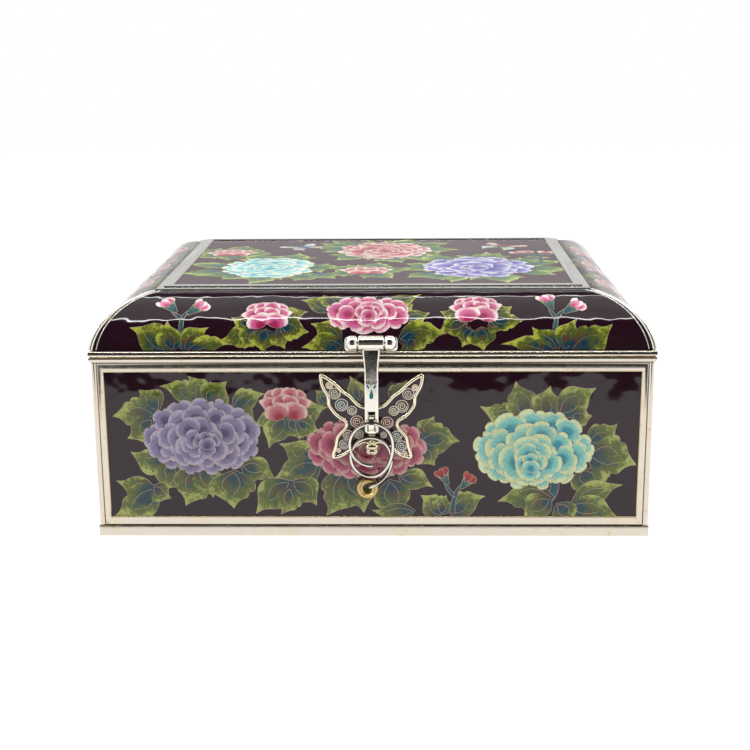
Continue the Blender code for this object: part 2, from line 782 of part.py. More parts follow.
def make_gold_ring():
    """The small stepped ring at the wire's end, turned about the line to the viewer."""
    half = GOLD_RING_THICKNESS / 2
    middle = (GOLD_RING_HOLE + GOLD_RING_OUTER) / 2
    profile = (
        (GOLD_RING_OUTER, half * 0.4),
        (GOLD_RING_OUTER, -half * 0.6),
        (GOLD_RING_OUTER - 0.35, -half),
        (GOLD_RING_HOLE, -half),
        (GOLD_RING_HOLE, half * 0.5),
        (middle - 0.2, half * 0.6),
        (middle, half),
        (GOLD_RING_OUTER - 0.35, half),
    )
    steps = 28
    sections = []
    for i in range(steps):
        angle = 2 * math.pi * i / steps
        sections.append(
            [
                (
                    GOLD_RING_CENTRE[0] + radius * math.cos(angle),
                    GOLD_RING_CENTRE[1] - out,
                    GOLD_RING_CENTRE[2] + radius * math.sin(angle),
                )
                for radius, out in profile
            ]
        )
    finish_mesh("gold_ring", loft(sections, closed=True), gold)


empty_the_scene()
parts = make_collection("cloisonne_box")
cutters = make_collection("cutters")
silver = make_material("silver", (0.83, 0.81, 0.77), 0.22, 1.0)
inner_silver = make_material("inner_silver", (0.72, 0.70, 0.66), 0.42, 1.0)
enamel = make_material("enamel", (0.06, 0.02, 0.045), 0.08, 0.0)
gold = make_material("gold", (0.83, 0.62, 0.26), 0.25, 1.0)

make_inner_box()
make_bottom_plate()
make_foot_band()
make_body_rim()
make_corner_posts()
for side in SIDES:
    make_side_frame(*side)
    make_side_enamel(*side)
    make_cove_enamel(*side)
make_lid_flange()
make_lid_shell()
make_corner_wires()
make_top_frame()
make_top_enamel()
make_lid_hinges()
make_hasp_lugs()
make_hasp()
make_ring_eye()
make_butterfly_plate()
make_spiral_ring()
make_gold_ring()
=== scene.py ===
"""A silver-mounted cloisonne enamel box with a hinged, curved lid, a hasp and a wire ring.

The enamel plates are pictures: cells of enamel laid over one another in painter's order, cut
against each other into one closed mesh, with fine silver wires along the lines between them.
Lengths are in millimetres, and become metres where a mesh is made. The camera, the floor and the
lights are placed in metres.
"""
import bpy
import numpy as np
import random
from math import atan2, cos, pi, radians, sin, sqrt, tau
from mathutils import Matrix, Vector
from mathutils.geometry import delaunay_2d_cdt


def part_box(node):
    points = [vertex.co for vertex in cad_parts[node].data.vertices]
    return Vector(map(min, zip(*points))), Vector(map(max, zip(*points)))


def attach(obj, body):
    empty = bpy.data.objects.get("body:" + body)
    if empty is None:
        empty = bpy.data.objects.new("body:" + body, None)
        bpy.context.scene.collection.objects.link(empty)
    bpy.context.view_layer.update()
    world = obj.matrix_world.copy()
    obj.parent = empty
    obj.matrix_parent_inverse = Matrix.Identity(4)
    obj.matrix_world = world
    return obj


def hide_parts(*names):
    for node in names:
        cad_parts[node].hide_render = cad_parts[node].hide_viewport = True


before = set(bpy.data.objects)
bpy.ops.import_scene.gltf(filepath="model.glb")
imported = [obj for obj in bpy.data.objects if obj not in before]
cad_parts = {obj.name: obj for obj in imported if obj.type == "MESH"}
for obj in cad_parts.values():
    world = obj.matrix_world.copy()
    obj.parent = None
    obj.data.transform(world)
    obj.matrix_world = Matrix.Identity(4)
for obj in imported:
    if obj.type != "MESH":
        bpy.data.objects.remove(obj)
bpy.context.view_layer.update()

MM = 0.001
# Each side's turn about the upright axis, in degrees
SIDES = {"front": 0, "right": 90, "back": 180, "left": -90}

# The camera stands in front of the box and a little above it.
CAMERA_PLACE = (0.0127, -0.5455, 0.1794)
CAMERA_YAW = -0.0246
CAMERA_PITCH = 0.2503
CAMERA_ROLL = -0.0078
CAMERA_LENS = 64.89
SENSOR_WIDTH = 36.0

# The enamel plates stand a little behind the faces of their silver frames.
PLATE_THICKNESS = 1.3
WIRE_WIDTH = 0.125
WIRE_PROUD = 0.02
WIRE_DEPTH = 0.08
# Points of a picture closer than this are one.
CUT_TOLERANCE = 1e-4

# The lid's sides are parts of a cylinder: its radius, where its axis lies inside the box's face
# and above the table, and the angles at which the enamel starts and ends.
COVE_RADIUS = 21.2
COVE_AXIS_INSET = 21.1
COVE_AXIS_HEIGHT = 66.0
COVE_START = 0.1754
COVE_END = 1.5331
# The enamel's length up the curve, its flat strips, and its gap beside each mitre
COVE_LENGTH = 28.78
COVE_STRIPS = 24
COVE_END_TRIM = 1.95

HALF_WIDTH = 100.0
HALF_DEPTH = 81.0
RIM_PROUD = 0.6
TOP_FRAME_INSET = 20.6
PANEL_CLEARANCE = 0.15


# Colours and materials

def linear(code):
    """A colour written as on screen, #rrggbb, in linear light."""
    parts = [int(code[i:i + 2], 16) / 255 for i in (1, 3, 5)]
    return tuple(v / 12.92 if v < 0.04045 else ((v + 0.055) / 1.055) ** 2.4 for v in parts) + (1.0,)


# Each enamel colour: deep at the heart of a cell, middle, and pale at its rim
PAINTS = {
    "ground": ("#1b0912", "#1b0912", "#1b0912"),
    # The top's ground is painted lighter than the sides' ground: painted light for the lid top's brighter
    # look.
    "top_ground": ("#371626", "#371626", "#371626"),
    "purple": ("#342e4c", "#5f5872", "#8b8294"),
    "magenta": ("#5e1028", "#86394e", "#a8807e"),
    "blush": ("#74101e", "#965058", "#b3968c"),
    "turquoise": ("#1f6a76", "#62988f", "#aab084"),
    "rose": ("#7c1a40", "#a24c70", "#c8b6b4"),
    "lilac": ("#3c3490", "#7a74b4", "#d4d2e2"),
    "aqua": ("#2090a6", "#80c8ce", "#e6ead2"),
    "coral": ("#942038", "#ba5a66", "#e2d2c6"),
    "red": ("#6a1434", "#7e2424", "#8e3a34"),
    "pink": ("#a03060", "#b8708c", "#d8d0cc"),
    "leaf": ("#142f38", "#465020", "#828a46"),
    "cove_leaf": ("#0a2a38", "#3e4616", "#848a34"),
    "top_leaf": ("#1c5864", "#5c7c38", "#b4bc6c"),
    "stem": ("#103848", "#2c5450", "#6f8a50"),
    "moss": ("#344434", "#3c4a34", "#2c2c2c"),
    "mist": ("#24343e", "#344a58", "#2c3036"),
    "heather": ("#2a1c26", "#342832", "#2c262c"),
    "salmon": ("#4a1e1a", "#5a3026", "#3c2a26"),
    "tan": ("#36241a", "#443224", "#302620"),
    "gold": ("#6a4216", "#8a6630", "#a88e5c"),
    "sky": ("#3a8cae", "#8ccad8", "#d4e6de"),
    "lemon": ("#c0a838", "#d0c478", "#dcd6ac"),
    "mallow": ("#7262b0", "#a89ac6", "#ccc6d6"),
    "white": ("#b4afa8", "#d0cbc2", "#e0dcd4"),
}
# How much some of them are mottled with brown
MOTTLING = {"leaf": 0.85, "cove_leaf": 1.0, "top_leaf": 0.5, "stem": 0.3}


class Nodes:
    """A node tree, with short ways to add nodes. An input takes a number, a colour or a socket."""

    def __init__(self, tree):
        self.tree = tree

    def set(self, socket, value):
        if isinstance(value, bpy.types.NodeSocket):
            self.tree.links.new(value, socket)
        else:
            socket.default_value = value

    def add(self, kind, settings=None, **inputs):
        """A new node. Its inputs are named, or numbered as in _0."""
        node = self.tree.nodes.new("ShaderNode" + kind)
        for key, value in (settings or {}).items():
            setattr(node, key, value)
        for key, value in inputs.items():
            self.set(node.inputs[int(key[1:]) if key[1:].isdigit() else key], value)
        return node

    def math(self, operation, *values):
        inputs = {f"_{i}": value for i, value in enumerate(values)}
        return self.add("Math", {"operation": operation}, **inputs).outputs[0]

    def ramp(self, value, low, high):
        """A smooth step from 0 at low to 1 at high."""
        settings = {"interpolation_type": "SMOOTHSTEP"}
        return self.add("MapRange", settings, _0=value, _1=low, _2=high).outputs[0]

    def fall(self, value, low, high):
        """A smooth step from 1 at low to 0 at high."""
        return self.math("SUBTRACT", 1.0, self.ramp(value, low, high))

    def spread(self, value, old, new):
        """The value, moved from the old range to the new one."""
        return self.add("MapRange", _0=value, _1=old[0], _2=old[1], _3=new[0], _4=new[1]).outputs[0]

    def mix(self, share, first, second, blend="MIX"):
        settings = {"data_type": "RGBA", "blend_type": blend}
        return self.add("Mix", settings, _0=share, _6=first, _7=second).outputs[2]

    def noise(self, place, scale, detail, rough):
        return self.add("TexNoise", Vector=place, Scale=scale, Detail=detail, Roughness=rough).outputs[0]


class Material(Nodes):
    """The nodes of a new material, with its Principled shader."""

    def __init__(self, name):
        self.made = bpy.data.materials.new(name)
        self.made.use_nodes = True
        super().__init__(self.made.node_tree)
        self.shader = next(n for n in self.tree.nodes if n.type == "BSDF_PRINCIPLED")

    def place(self, kind="Object"):
        return self.add("TexCoord").outputs[kind]

    def shade(self, **inputs):
        """Set inputs of the shader. Their names have low lines for spaces."""
        for name, value in inputs.items():
            self.set(self.shader.inputs[name.replace("_", " ")], value)

    def bump(self, strength, distance, height):
        self.shade(Normal=self.add("Bump", Strength=strength, Distance=distance, Height=height).outputs[0])


# Noises, each with its scale, detail and roughness: enamel has the grain of its powder, clouds in
# its colour and waves in its surface, and silver has specks, patches, streaks and dents.
GRAIN = (1500.0, 3.0, 0.7)
CLOUDS = (330.0, 4.0, 0.65)
WAVES = (62.0, 2.0, 0.5)
SPECKS = (700.0, 6.0, 0.75)
PATCHES = (90.0, 3.0, 0.6)
STREAKS = (400.0, 4.0, 0.6)
DENTS = (70.0, 2.0, 0.5)
# The range that most of a noise lies in
NOISE_RANGE = (0.3, 0.7)

# Where a cell's colours pass over, as shares of its length from the heart
DEEP_TO_MIDDLE = (0.2, 0.62)
MIDDLE_TO_PALE = (0.64, 1.0)
MOTTLING_STOPS = (0.55, 1.0)
MOTTLED_CLOUDS = (0.48, 0.62)
MOTTLE_COLOUR = "#3d2b20"
# How far the grain and, in mottled cells, the clouds blur those places
GRAIN_BLUR = 0.34
CLOUD_RANGE = (0.2, 0.8)
CLOUD_BLUR = (-0.5, 0.5)
GRAIN_LIGHT = (0.8, 1.16)
STRONG_GRAIN_LIGHT = (0.7, 1.2)
ENAMEL_ROUGHNESS = 0.06
ENAMEL_IOR = 1.5
WAVE_HEIGHT = 0.0013


def enamel_material(name, unevenness):
    """Glossy enamel: each cell shades from its heart to its rim, with the grain of its powder."""
    enamel = Material(name)
    place = enamel.place()
    deep, middle, pale = (enamel.add("Attribute", {"attribute_name": layer}).outputs
                          for layer in ("deep", "middle", "pale"))
    mottled = pale["Alpha"]
    grain = enamel.noise(place, *GRAIN)
    clouds = enamel.noise(place, *CLOUDS)
    cell = enamel.add("UVMap", {"uv_map": "cell"}).outputs[0]
    reach = enamel.add("VectorMath", {"operation": "LENGTH"}, _0=cell).outputs["Value"]
    blur = enamel.math("MULTIPLY_ADD", grain, GRAIN_BLUR, -GRAIN_BLUR / 2)
    reach = enamel.math("ADD", reach, blur)
    reach = enamel.math("MULTIPLY_ADD", enamel.spread(clouds, CLOUD_RANGE, CLOUD_BLUR), mottled, reach)
    colour = enamel.mix(enamel.ramp(reach, *DEEP_TO_MIDDLE), deep["Color"], middle["Color"])
    colour = enamel.mix(enamel.ramp(reach, *MIDDLE_TO_PALE), colour, pale["Color"])
    mottling = enamel.math("MULTIPLY", enamel.ramp(clouds, *MOTTLED_CLOUDS), mottled)
    mottling = enamel.math("MULTIPLY", mottling, enamel.fall(reach, *MOTTLING_STOPS))
    colour = enamel.mix(mottling, colour, linear(MOTTLE_COLOUR))
    light = enamel.spread(grain, NOISE_RANGE, GRAIN_LIGHT)
    enamel.shade(Base_Color=enamel.mix(1.0, colour, light, "MULTIPLY"), Roughness=ENAMEL_ROUGHNESS,
                 IOR=ENAMEL_IOR)
    enamel.bump(unevenness, WAVE_HEIGHT, enamel.noise(place, *WAVES))
    return enamel.made


def plain_enamel(name, code):
    """Glossy enamel of one colour, with the grain of its powder."""
    enamel = Material(name)
    grain = enamel.noise(enamel.place(), *GRAIN)
    light = enamel.spread(grain, NOISE_RANGE, STRONG_GRAIN_LIGHT)
    enamel.shade(Base_Color=enamel.mix(1.0, linear(code), light, "MULTIPLY"), Roughness=ENAMEL_ROUGHNESS)
    return enamel.made


# The parts of the specks' and patches' noises that are tarnished, and the warm tone of patches
TARNISHED_SPECKS = (0.55, 0.68)
TARNISHED_PATCHES = (0.47, 0.7)
WARM_SHARE = 0.3
WARM_COLOUR = "#d9c48c"
# Where the painted shade on a ring's sides, which stands for the dark reflections along the wire's
# edges, passes into its own colour, by how far it faces the front
SHADED_SIDES_FACING = (0.72, 0.97)
# How much the streaks lower and raise the roughness
STREAK_SPREAD = (0.7, 1.4)
DENT_STRENGTH = 0.06
DENT_DEPTH = 0.0003


def silver_material(name, base, tarnish, roughness, tarnish_share, metallic=1.0, sides=None):
    """Old silver: bright, with soft streaks, small dents and yellow-brown tarnish in specks.
    Given a sides colour, it also paints shade on the parts that turn away from the front.
    """
    silver = Material(name)
    place = silver.place()
    specks = silver.ramp(silver.noise(place, *SPECKS), *TARNISHED_SPECKS)
    patches = silver.ramp(silver.noise(place, *PATCHES), *TARNISHED_PATCHES)
    tarnished = silver.math("MULTIPLY", silver.math("MULTIPLY", specks, patches), tarnish_share)
    warmed = silver.math("MULTIPLY", patches, WARM_SHARE * tarnish_share)
    colour = silver.mix(warmed, linear(base), linear(WARM_COLOUR))
    # Painted shade: parts whose normals turn away from the front and back take the darker sides colour.
    if sides:
        across = silver.add("SeparateXYZ", _0=silver.place("Normal")).outputs[1]
        facing = silver.ramp(silver.math("ABSOLUTE", across), *SHADED_SIDES_FACING)
        colour = silver.mix(facing, linear(sides), colour)
    streaks = silver.noise(place, *STREAKS)
    rough = silver.spread(streaks, NOISE_RANGE, [roughness * share for share in STREAK_SPREAD])
    silver.shade(Base_Color=silver.mix(tarnished, colour, linear(tarnish)), Metallic=metallic,
                 Roughness=rough)
    silver.bump(DENT_STRENGTH, DENT_DEPTH, silver.noise(place, *DENTS))
    return silver.made


BROWN = "#8a6a34"
DULL_BROWN = "#8a6a4a"
ENAMEL = enamel_material("enamel", 0.36)
WAVY_ENAMEL = enamel_material("wavy_enamel", 0.72)
EVEN_ENAMEL = enamel_material("even_enamel", 0.1)
TEAL = plain_enamel("teal", "#1c5a66")
# Name, colour, tarnish, roughness and how much is tarnished, and for some how metallic it is
SILVER = silver_material("silver", "#dcd2c3", BROWN, 0.13, 0.7)
BRIGHT_SILVER = silver_material("bright_silver", "#efede8", BROWN, 0.2, 0.5)
POLISHED_SILVER = silver_material("polished_silver", "#f0ebe0", BROWN, 0.1, 0.35)
SATIN_SILVER = silver_material("satin_silver", "#d6d3cc", "#8d7a55", 0.38, 0.5)
CREAM_SILVER = silver_material("cream_silver", "#f2e6ca", BROWN, 0.1, 0.7)
SPIRAL_SILVER = silver_material("spiral_silver", "#dccfbc", DULL_BROWN, 0.35, 0.3, 0.1)
# The ring's sides are painted darker: painted shade for the dark reflections along the wire's edges.
RING_SILVER = silver_material("ring_silver", "#ece6dc", "#6a5234", 0.05, 0.6, sides="#5a4f46")
WIRE_SILVER = silver_material("wire_silver", "#a8937c", DULL_BROWN, 0.3, 0.4, 0.75)
# Dark silver for the engraved lines, and for the strips beside the mitres, where it is painted shade of the
# grooves.
DARK_SILVER = silver_material("dark_silver", "#2c2724", "#1c1612", 0.3, 0.4)
GILT = silver_material("gilt", "#c8ac74", "#6f4a17", 0.2, 0.6)
STAINED_SILVER = silver_material("stained_silver", "#cdb68c", "#7a5a24", 0.3, 1.0)


# Camera, light and floor

def linked(name, data):
    """A new object in the scene."""
    made = bpy.data.objects.new(name, data)
    bpy.context.scene.collection.objects.link(made)
    return made


def new_mesh(name, vertices, faces, material):
    mesh = bpy.data.meshes.new(name)
    mesh.from_pydata(vertices, [], faces)
    mesh.materials.append(material)
    return mesh


def add_camera():
    data = bpy.data.cameras.new("camera")
    data.lens = CAMERA_LENS
    data.sensor_width = SENSOR_WIDTH
    camera = linked("camera", data)
    forward = Vector((sin(CAMERA_YAW) * cos(CAMERA_PITCH), cos(CAMERA_YAW) * cos(CAMERA_PITCH),
                      -sin(CAMERA_PITCH)))
    level = Vector((cos(CAMERA_YAW), -sin(CAMERA_YAW), 0))
    upright = level.cross(forward)
    right = level * cos(CAMERA_ROLL) + upright * sin(CAMERA_ROLL)
    up = upright * cos(CAMERA_ROLL) - level * sin(CAMERA_ROLL)
    turn = Matrix((right, up, -forward)).transposed().to_4x4()
    camera.matrix_world = Matrix.Translation(CAMERA_PLACE) @ turn
    bpy.context.scene.camera = camera


# The bright sheet that the box stands on ends this far in front of it.
SHEET_FRONT = -0.30
SHEET_HALF_WIDTH = 0.6
SHEET_BACK = 1.6
SHEET_COLOUR = (0.2, 0.2, 0.2, 1)
SHEET_GLOW = 0.8
WHITE = (1, 1, 1, 1)


def add_floor():
    paper = Material("floor")
    paper.shade(Base_Color=SHEET_COLOUR, Roughness=0.9, Specular_IOR_Level=0.1, Emission_Color=WHITE,
                Emission_Strength=SHEET_GLOW)
    corners = [(x, y, 0) for x, y in rectangle(-SHEET_HALF_WIDTH, SHEET_HALF_WIDTH, SHEET_FRONT, SHEET_BACK)]
    floor = linked("floor", new_mesh("floor", corners, [(0, 1, 2, 3)], paper.made))


# The lights face this height over the table.
LIGHT_AIM = Vector((0, 0, 0.04))


def add_soft_light(name, place, size, power):
    """A square soft light that faces the box and isn't seen in its gloss."""
    data = bpy.data.lights.new(name, "AREA")
    data.shape = "SQUARE"
    data.size = size
    data.energy = power
    light = linked(name, data)
    light.location = place
    light.rotation_euler = (LIGHT_AIM - Vector(place)).to_track_quat("-Z", "Y").to_euler()
    light.visible_glossy = False


# How strongly the room glows: the wall behind, more at the horizon and above the eye's height,
# both sides, the ceiling, dim things here and there, all of the room, and all of it as seen by
# matt surfaces
BACK_GLOW = 0.43
HORIZON_GLOW = 0.36
UPPER_GLOW = 0.27
SIDE_GLOW = 0.95
CEILING_GLOW = 0.9
DIM_THINGS = 0.1
ROOM = 0.02
DIFFUSE_ROOM = 0.75
# Where each of them starts and ends, in the direction's y, z or x: how far it points back, up or
# to the side
BEHIND = (0.0, 0.35)
LOW = (0.35, 0.6)
HORIZON = (0.09, 0.15)
UPPER = (0.17, 0.26)
BESIDE = (0.32, 0.62)
BETWEEN_SIDES = (0.75, 0.9)
# The ceiling glows between these elevations in degrees, in front and behind, with soft edges.
CEILING_FRONT = -69.0
CEILING_BACK = 45.0
CEILING_FRONT_EDGE = (0.0, 0.06)
CEILING_BACK_EDGE = (-0.1, 0.2)
# Two bright strips over the box: the elevation in degrees, in front if it is below nought, the
# half width and the strength. Gaps break them.
STRIPS = ((-70.0, 0.018, 26.0), (48.0, 0.012, 14.0))
STRIP_CORE = 0.6
STRIP_NOISE = (9.0, 2.0, 0.6)
STRIP_GAPS = (0.36, 0.44)
DIM_NOISE = (3.5, 3.0, 0.6)
DIM_SHARE = (0.45, 0.7)


class Room(Nodes):
    """The nodes of a room by direction: white behind, dark in front, with two bright strips above."""

    def __init__(self, tree):
        super().__init__(tree)
        self.direction = self.add("TexCoord").outputs["Generated"]
        self.x, self.y, self.z = self.add("SeparateXYZ", _0=self.direction).outputs
        self.sideways = self.math("ABSOLUTE", self.x)
        self.between = self.fall(self.sideways, *BETWEEN_SIDES)

    def product(self, first, *others):
        for other in others:
            first = self.math("MULTIPLY", first, other)
        return first

    def sum(self, first, *others):
        for other in others:
            first = self.math("ADD", first, other)
        return first

    def beyond(self, elevation):
        """How far above the plane through the x axis at this elevation, in front if below nought."""
        return self.math("SUBTRACT", self.math("MULTIPLY", self.z, cos(radians(elevation))),
                         self.math("MULTIPLY", self.y, sin(radians(elevation))))

    def strip(self, elevation, half_width, strength):
        """A thin bright line at this elevation in degrees, broken by gaps."""
        near = self.fall(self.math("ABSOLUTE", self.beyond(elevation)), half_width * STRIP_CORE, half_width)
        side = self.math("GREATER_THAN", self.math("MULTIPLY", self.y, elevation), 0.0)
        unbroken = self.ramp(self.noise(self.direction, *STRIP_NOISE), *STRIP_GAPS)
        return self.product(near, side, unbroken, self.between, strength)

    def wall(self):
        horizon = self.math("MULTIPLY", self.fall(self.z, *HORIZON), HORIZON_GLOW)
        upper = self.math("MULTIPLY", self.ramp(self.z, *UPPER), UPPER_GLOW)
        level = self.sum(BACK_GLOW, horizon, upper)
        behind = self.product(self.ramp(self.y, *BEHIND), self.fall(self.z, *LOW), level)
        beside = self.math("MULTIPLY", self.ramp(self.sideways, *BESIDE), SIDE_GLOW)
        return self.math("MAXIMUM", behind, beside)

    def ceiling(self):
        front = self.ramp(self.beyond(CEILING_FRONT), *CEILING_FRONT_EDGE)
        back = self.ramp(self.beyond(CEILING_BACK), *CEILING_BACK_EDGE)
        return self.product(front, back, self.between, CEILING_GLOW)

    def dim_things(self):
        shown = self.ramp(self.noise(self.direction, *DIM_NOISE), *DIM_SHARE)
        return self.sum(self.math("MULTIPLY", shown, DIM_THINGS), ROOM)

    def seen_by(self, ray, usual, special):
        """The usual strength, and a special one for this kind of ray."""
        share = self.add("LightPath").outputs[ray]
        return self.add("Mix", {"data_type": "FLOAT"}, _0=share, _2=usual, _3=special).outputs[0]


def add_world():
    world = bpy.data.worlds.new("studio")
    bpy.context.scene.world = world
    world.use_nodes = True
    background = next(n for n in world.node_tree.nodes if n.type == "BACKGROUND")
    room = Room(world.node_tree)
    strips = [room.strip(*strip) for strip in STRIPS]
    total = room.sum(room.wall(), room.ceiling(), room.dim_things(), *strips)
    total = room.seen_by("Is Diffuse Ray", total, DIFFUSE_ROOM)
    room.set(background.inputs["Strength"], room.seen_by("Is Camera Ray", total, 1.0))
    background.inputs["Color"].default_value = WHITE


# Surfaces that the pictures lie on: at(u, v, out) gives a point in metres and normal(u, v) the
# outward direction there

def spun(turn):
    return Matrix.Rotation(radians(turn), 3, "Z")


def flat_surface(turn, distance):
    """An upright plate: u along it to the right, v up from the table."""
    spin = spun(turn)

    def at(u, v, out=0.0):
        return spin @ Vector((u, -distance - out, v)) * MM

    return at, lambda u, v: spin @ Vector((0, -1, 0))


def level_surface(height):
    """The lid's top: u to the right and v towards the back."""
    return (lambda u, v, out=0.0: Vector((u, v, height + out)) * MM), (lambda u, v: Vector((0, 0, 1)))


def cove_curve(angle, out=0.0):
    """A point of a curved side's section: how far inside the box's face, and how high."""
    radius = COVE_RADIUS + out
    return COVE_AXIS_INSET - radius * cos(angle), COVE_AXIS_HEIGHT + radius * sin(angle)


def cove_angle(v):
    return COVE_START + v / COVE_RADIUS


def cove_surface(turn, distance):
    """A curved side of the lid: u along it, v up the curve from the enamel's lower edge."""
    spin = spun(turn)

    def at(u, v, out=0.0):
        inward, height = cove_curve(cove_angle(v), out)
        return spin @ Vector((u, inward - distance, height)) * MM

    def normal(u, v):
        angle = cove_angle(v)
        return spin @ Vector((0, -cos(angle), sin(angle)))

    return at, normal


# Pictures

# A picture's ground has one colour, so it may reach any way from its heart.
GROUND_REACH = 100
# How much lighter or darker than its paint a cell may be
TINT_STRAY = 0.08
# The cell of lines that only cut the mesh, and of points outside the plate
NO_CELL = -1


class Picture:
    """Cells of enamel in painter's order on a plate's own plane, in millimetres."""

    def __init__(self, outline, strips=(), seed=1, ground="ground"):
        self.points = []
        self.edges = []
        self.edge_cells = []
        self.outlines = []
        self.families = []
        self.cells = []
        self.random = random.Random(seed)
        self.add(outline, ground, (0, 0), (0, GROUND_REACH))
        for start, end in strips:
            self.line([start, end], NO_CELL)

    def add(self, outline, paint, heart, rim, half_width=None, family=None):
        """Lay a cell. Its shade runs from the heart to the rim, and half_width sideways.

        No wire parts two cells of one family.
        """
        self.line(list(outline) + [outline[0]], NO_CELL)
        self.outlines.append(np.array([tuple(p) for p in outline]))
        along = Vector(rim) - Vector(heart)
        length = along.length
        tint = 1 + self.random.uniform(-TINT_STRAY, TINT_STRAY)
        self.families.append(len(self.families) if family is None else family)
        self.cells.append((paint, Vector(heart), along / length, length, half_width or length, tint))

    def line(self, points, cell=None):
        """Lay a wire across the newest cell, or only an edge of the mesh where it has no cell."""
        first = len(self.points)
        self.points += [Vector(p) for p in points]
        for i in range(first, len(self.points) - 1):
            self.edges.append((i, i + 1))
            self.edge_cells.append(len(self.cells) - 1 if cell is None else cell)

    def local(self, cell, point):
        """A point in a cell's own measure: 0 at its heart and 1 at its rim."""
        _, heart, along, length, half_width, _ = self.cells[cell]
        step = point - heart
        return ((step.x * along.y - step.y * along.x) / half_width, step.dot(along) / length)

    def top_cells(self, middles):
        """The topmost cell over each of these points."""
        top = np.full(len(middles), NO_CELL)
        for cell, outline in enumerate(self.outlines):
            low = outline.min(axis=0)
            high = outline.max(axis=0)
            near = np.nonzero(((middles >= low) & (middles <= high)).all(axis=1))[0]
            if cell:
                near = near[top[near] != NO_CELL]
            if not len(near):
                continue
            x = middles[near, 0][:, None]
            y = middles[near, 1][:, None]
            start_x, start_y = outline.T
            end_x, end_y = np.roll(outline, -1, axis=0).T
            rises = (start_y <= y) & (end_y > y)
            falls = (start_y > y) & (end_y <= y)
            left_of = (end_x - start_x) * (y - start_y) - (x - start_x) * (end_y - start_y)
            turns = (rises & (left_of > 0)).sum(axis=1) - (falls & (left_of < 0)).sum(axis=1)
            top[near[turns != 0]] = cell
        return top

    def cut(self):
        """Cut the cells against each other: points, triangles with their cells, and drawn lines."""
        points, edges, faces, _, sources, _ = delaunay_2d_cdt(
            self.points, self.edges, [], 0, CUT_TOLERANCE, True)
        places = np.array([tuple(p) for p in points])
        middles = places[np.array(faces)].mean(axis=1)
        kept = [(tuple(f), int(c)) for f, c in zip(faces, self.top_cells(middles)) if c != NO_CELL]
        lines = {}
        for edge, own in zip(edges, sources):
            drawn = {self.edge_cells[s] for s in own} - {NO_CELL}
            if drawn:
                lines[tuple(sorted(edge))] = drawn
        return points, kept, lines


def wire_edges(kept, lines, families):
    """The edges between cells of two families, and those of lines whose own cell still shows."""
    sides = {}
    for face, cell in kept:
        for i in range(len(face)):
            sides.setdefault(tuple(sorted((face[i - 1], face[i]))), []).append(cell)
    wires = []
    for edge, cells in sides.items():
        if len(cells) == 2:
            parted = families[cells[0]] != families[cells[1]]
            if parted or (cells[0] == cells[1] and cells[0] in lines.get(edge, ())):
                wires.append(edge)
    return wires


def chains(edges):
    """Join edges end to end into lines that stop where three or more meet."""
    near = {}
    for a, b in edges:
        near.setdefault(a, []).append(b)
        near.setdefault(b, []).append(a)
    used = set()
    result = []

    def walk(a, b):
        line = [a, b]
        used.add((min(a, b), max(a, b)))
        while len(near[line[-1]]) == 2 and line[-1] != line[0]:
            last = line[-1]
            ahead = near[last][0] if near[last][0] != line[-2] else near[last][1]
            key = (min(last, ahead), max(last, ahead))
            if key in used:
                break
            used.add(key)
            line.append(ahead)
        result.append(line)

    for ends_only in (True, False):
        for a in near:
            if ends_only and len(near[a]) == 2:
                continue
            for b in near[a]:
                if (min(a, b), max(a, b)) not in used:
                    walk(a, b)
    return result


def link_mesh(name, vertices, faces, material, body, slot, nodes=()):
    piece = linked(name, new_mesh(name, vertices, faces, material))
    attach(piece, body)
    if nodes:
        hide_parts(*nodes)
    return piece


def enamel_plate(name, picture, surface, body, back_lines, slot="enamel", thickness=PLATE_THICKNESS,
                 material=ENAMEL, wire_width=WIRE_WIDTH, wire_material=WIRE_SILVER):
    """The closed plate of enamel, painted with its picture, and the picture's wires."""
    at, normal = surface
    points, kept, lines = picture.cut()
    used = sorted({i for face, _ in kept for i in face})
    vertices, faces = plate_skin(points, kept, used, at, thickness, back_lines)
    cells = [cell for _, cell in kept]
    cells += [0] * (len(faces) - len(kept))
    piece = link_mesh(name, vertices, faces, material, body, slot, (name,))
    paint_cells(piece.data, picture, points, used, cells, len(kept))
    shade_plate(piece.data, [normal(points[i].x, points[i].y) for i in used], len(kept))
    wires = chains(wire_edges(kept, lines, picture.families))
    wire_piece(name.replace("enamel", "wires"), wires, points, at, body, wire_width, wire_material)


def plate_skin(points, kept, used, at, thickness, back_lines):
    """Vertices and faces of a plate: first its front, and then its edges and its back."""
    number = {old: new for new, old in enumerate(used)}
    vertices = [at(points[i].x, points[i].y) for i in used]
    faces = [tuple(number[i] for i in face) for face, _ in kept]
    loop = border_loop(kept)
    back = {}
    for i in loop:
        back[i] = len(vertices)
        vertices.append(at(points[i].x, points[i].y, -thickness))
    faces += [(number[b], number[a], back[a], back[b]) for a, b in zip(loop, loop[1:] + loop[:1])]
    faces += [tuple(back[i] for i in reversed(group)) for group in back_groups(points, loop, back_lines)]
    return vertices, faces


def border_loop(kept):
    """The plate's outline, in the order in which its faces go round."""
    ahead = {}
    for face, _ in kept:
        for i in range(len(face)):
            ahead[(face[i - 1], face[i])] = True
    step = {a: b for a, b in ahead if (b, a) not in ahead}
    start = min(step)
    loop = [start]
    while step[loop[-1]] != start:
        loop.append(step[loop[-1]])
    return loop


# A point this near to a line of the back is on it.
ON_LINE = 1e-3


def back_groups(points, loop, back_lines):
    """The back's faces: one for a flat plate, or one between each two lines of a curved one."""
    if not back_lines:
        return [loop]
    return [[i for i in loop if low - ON_LINE <= points[i].y <= high + ON_LINE]
            for low, high in zip(back_lines, back_lines[1:])]


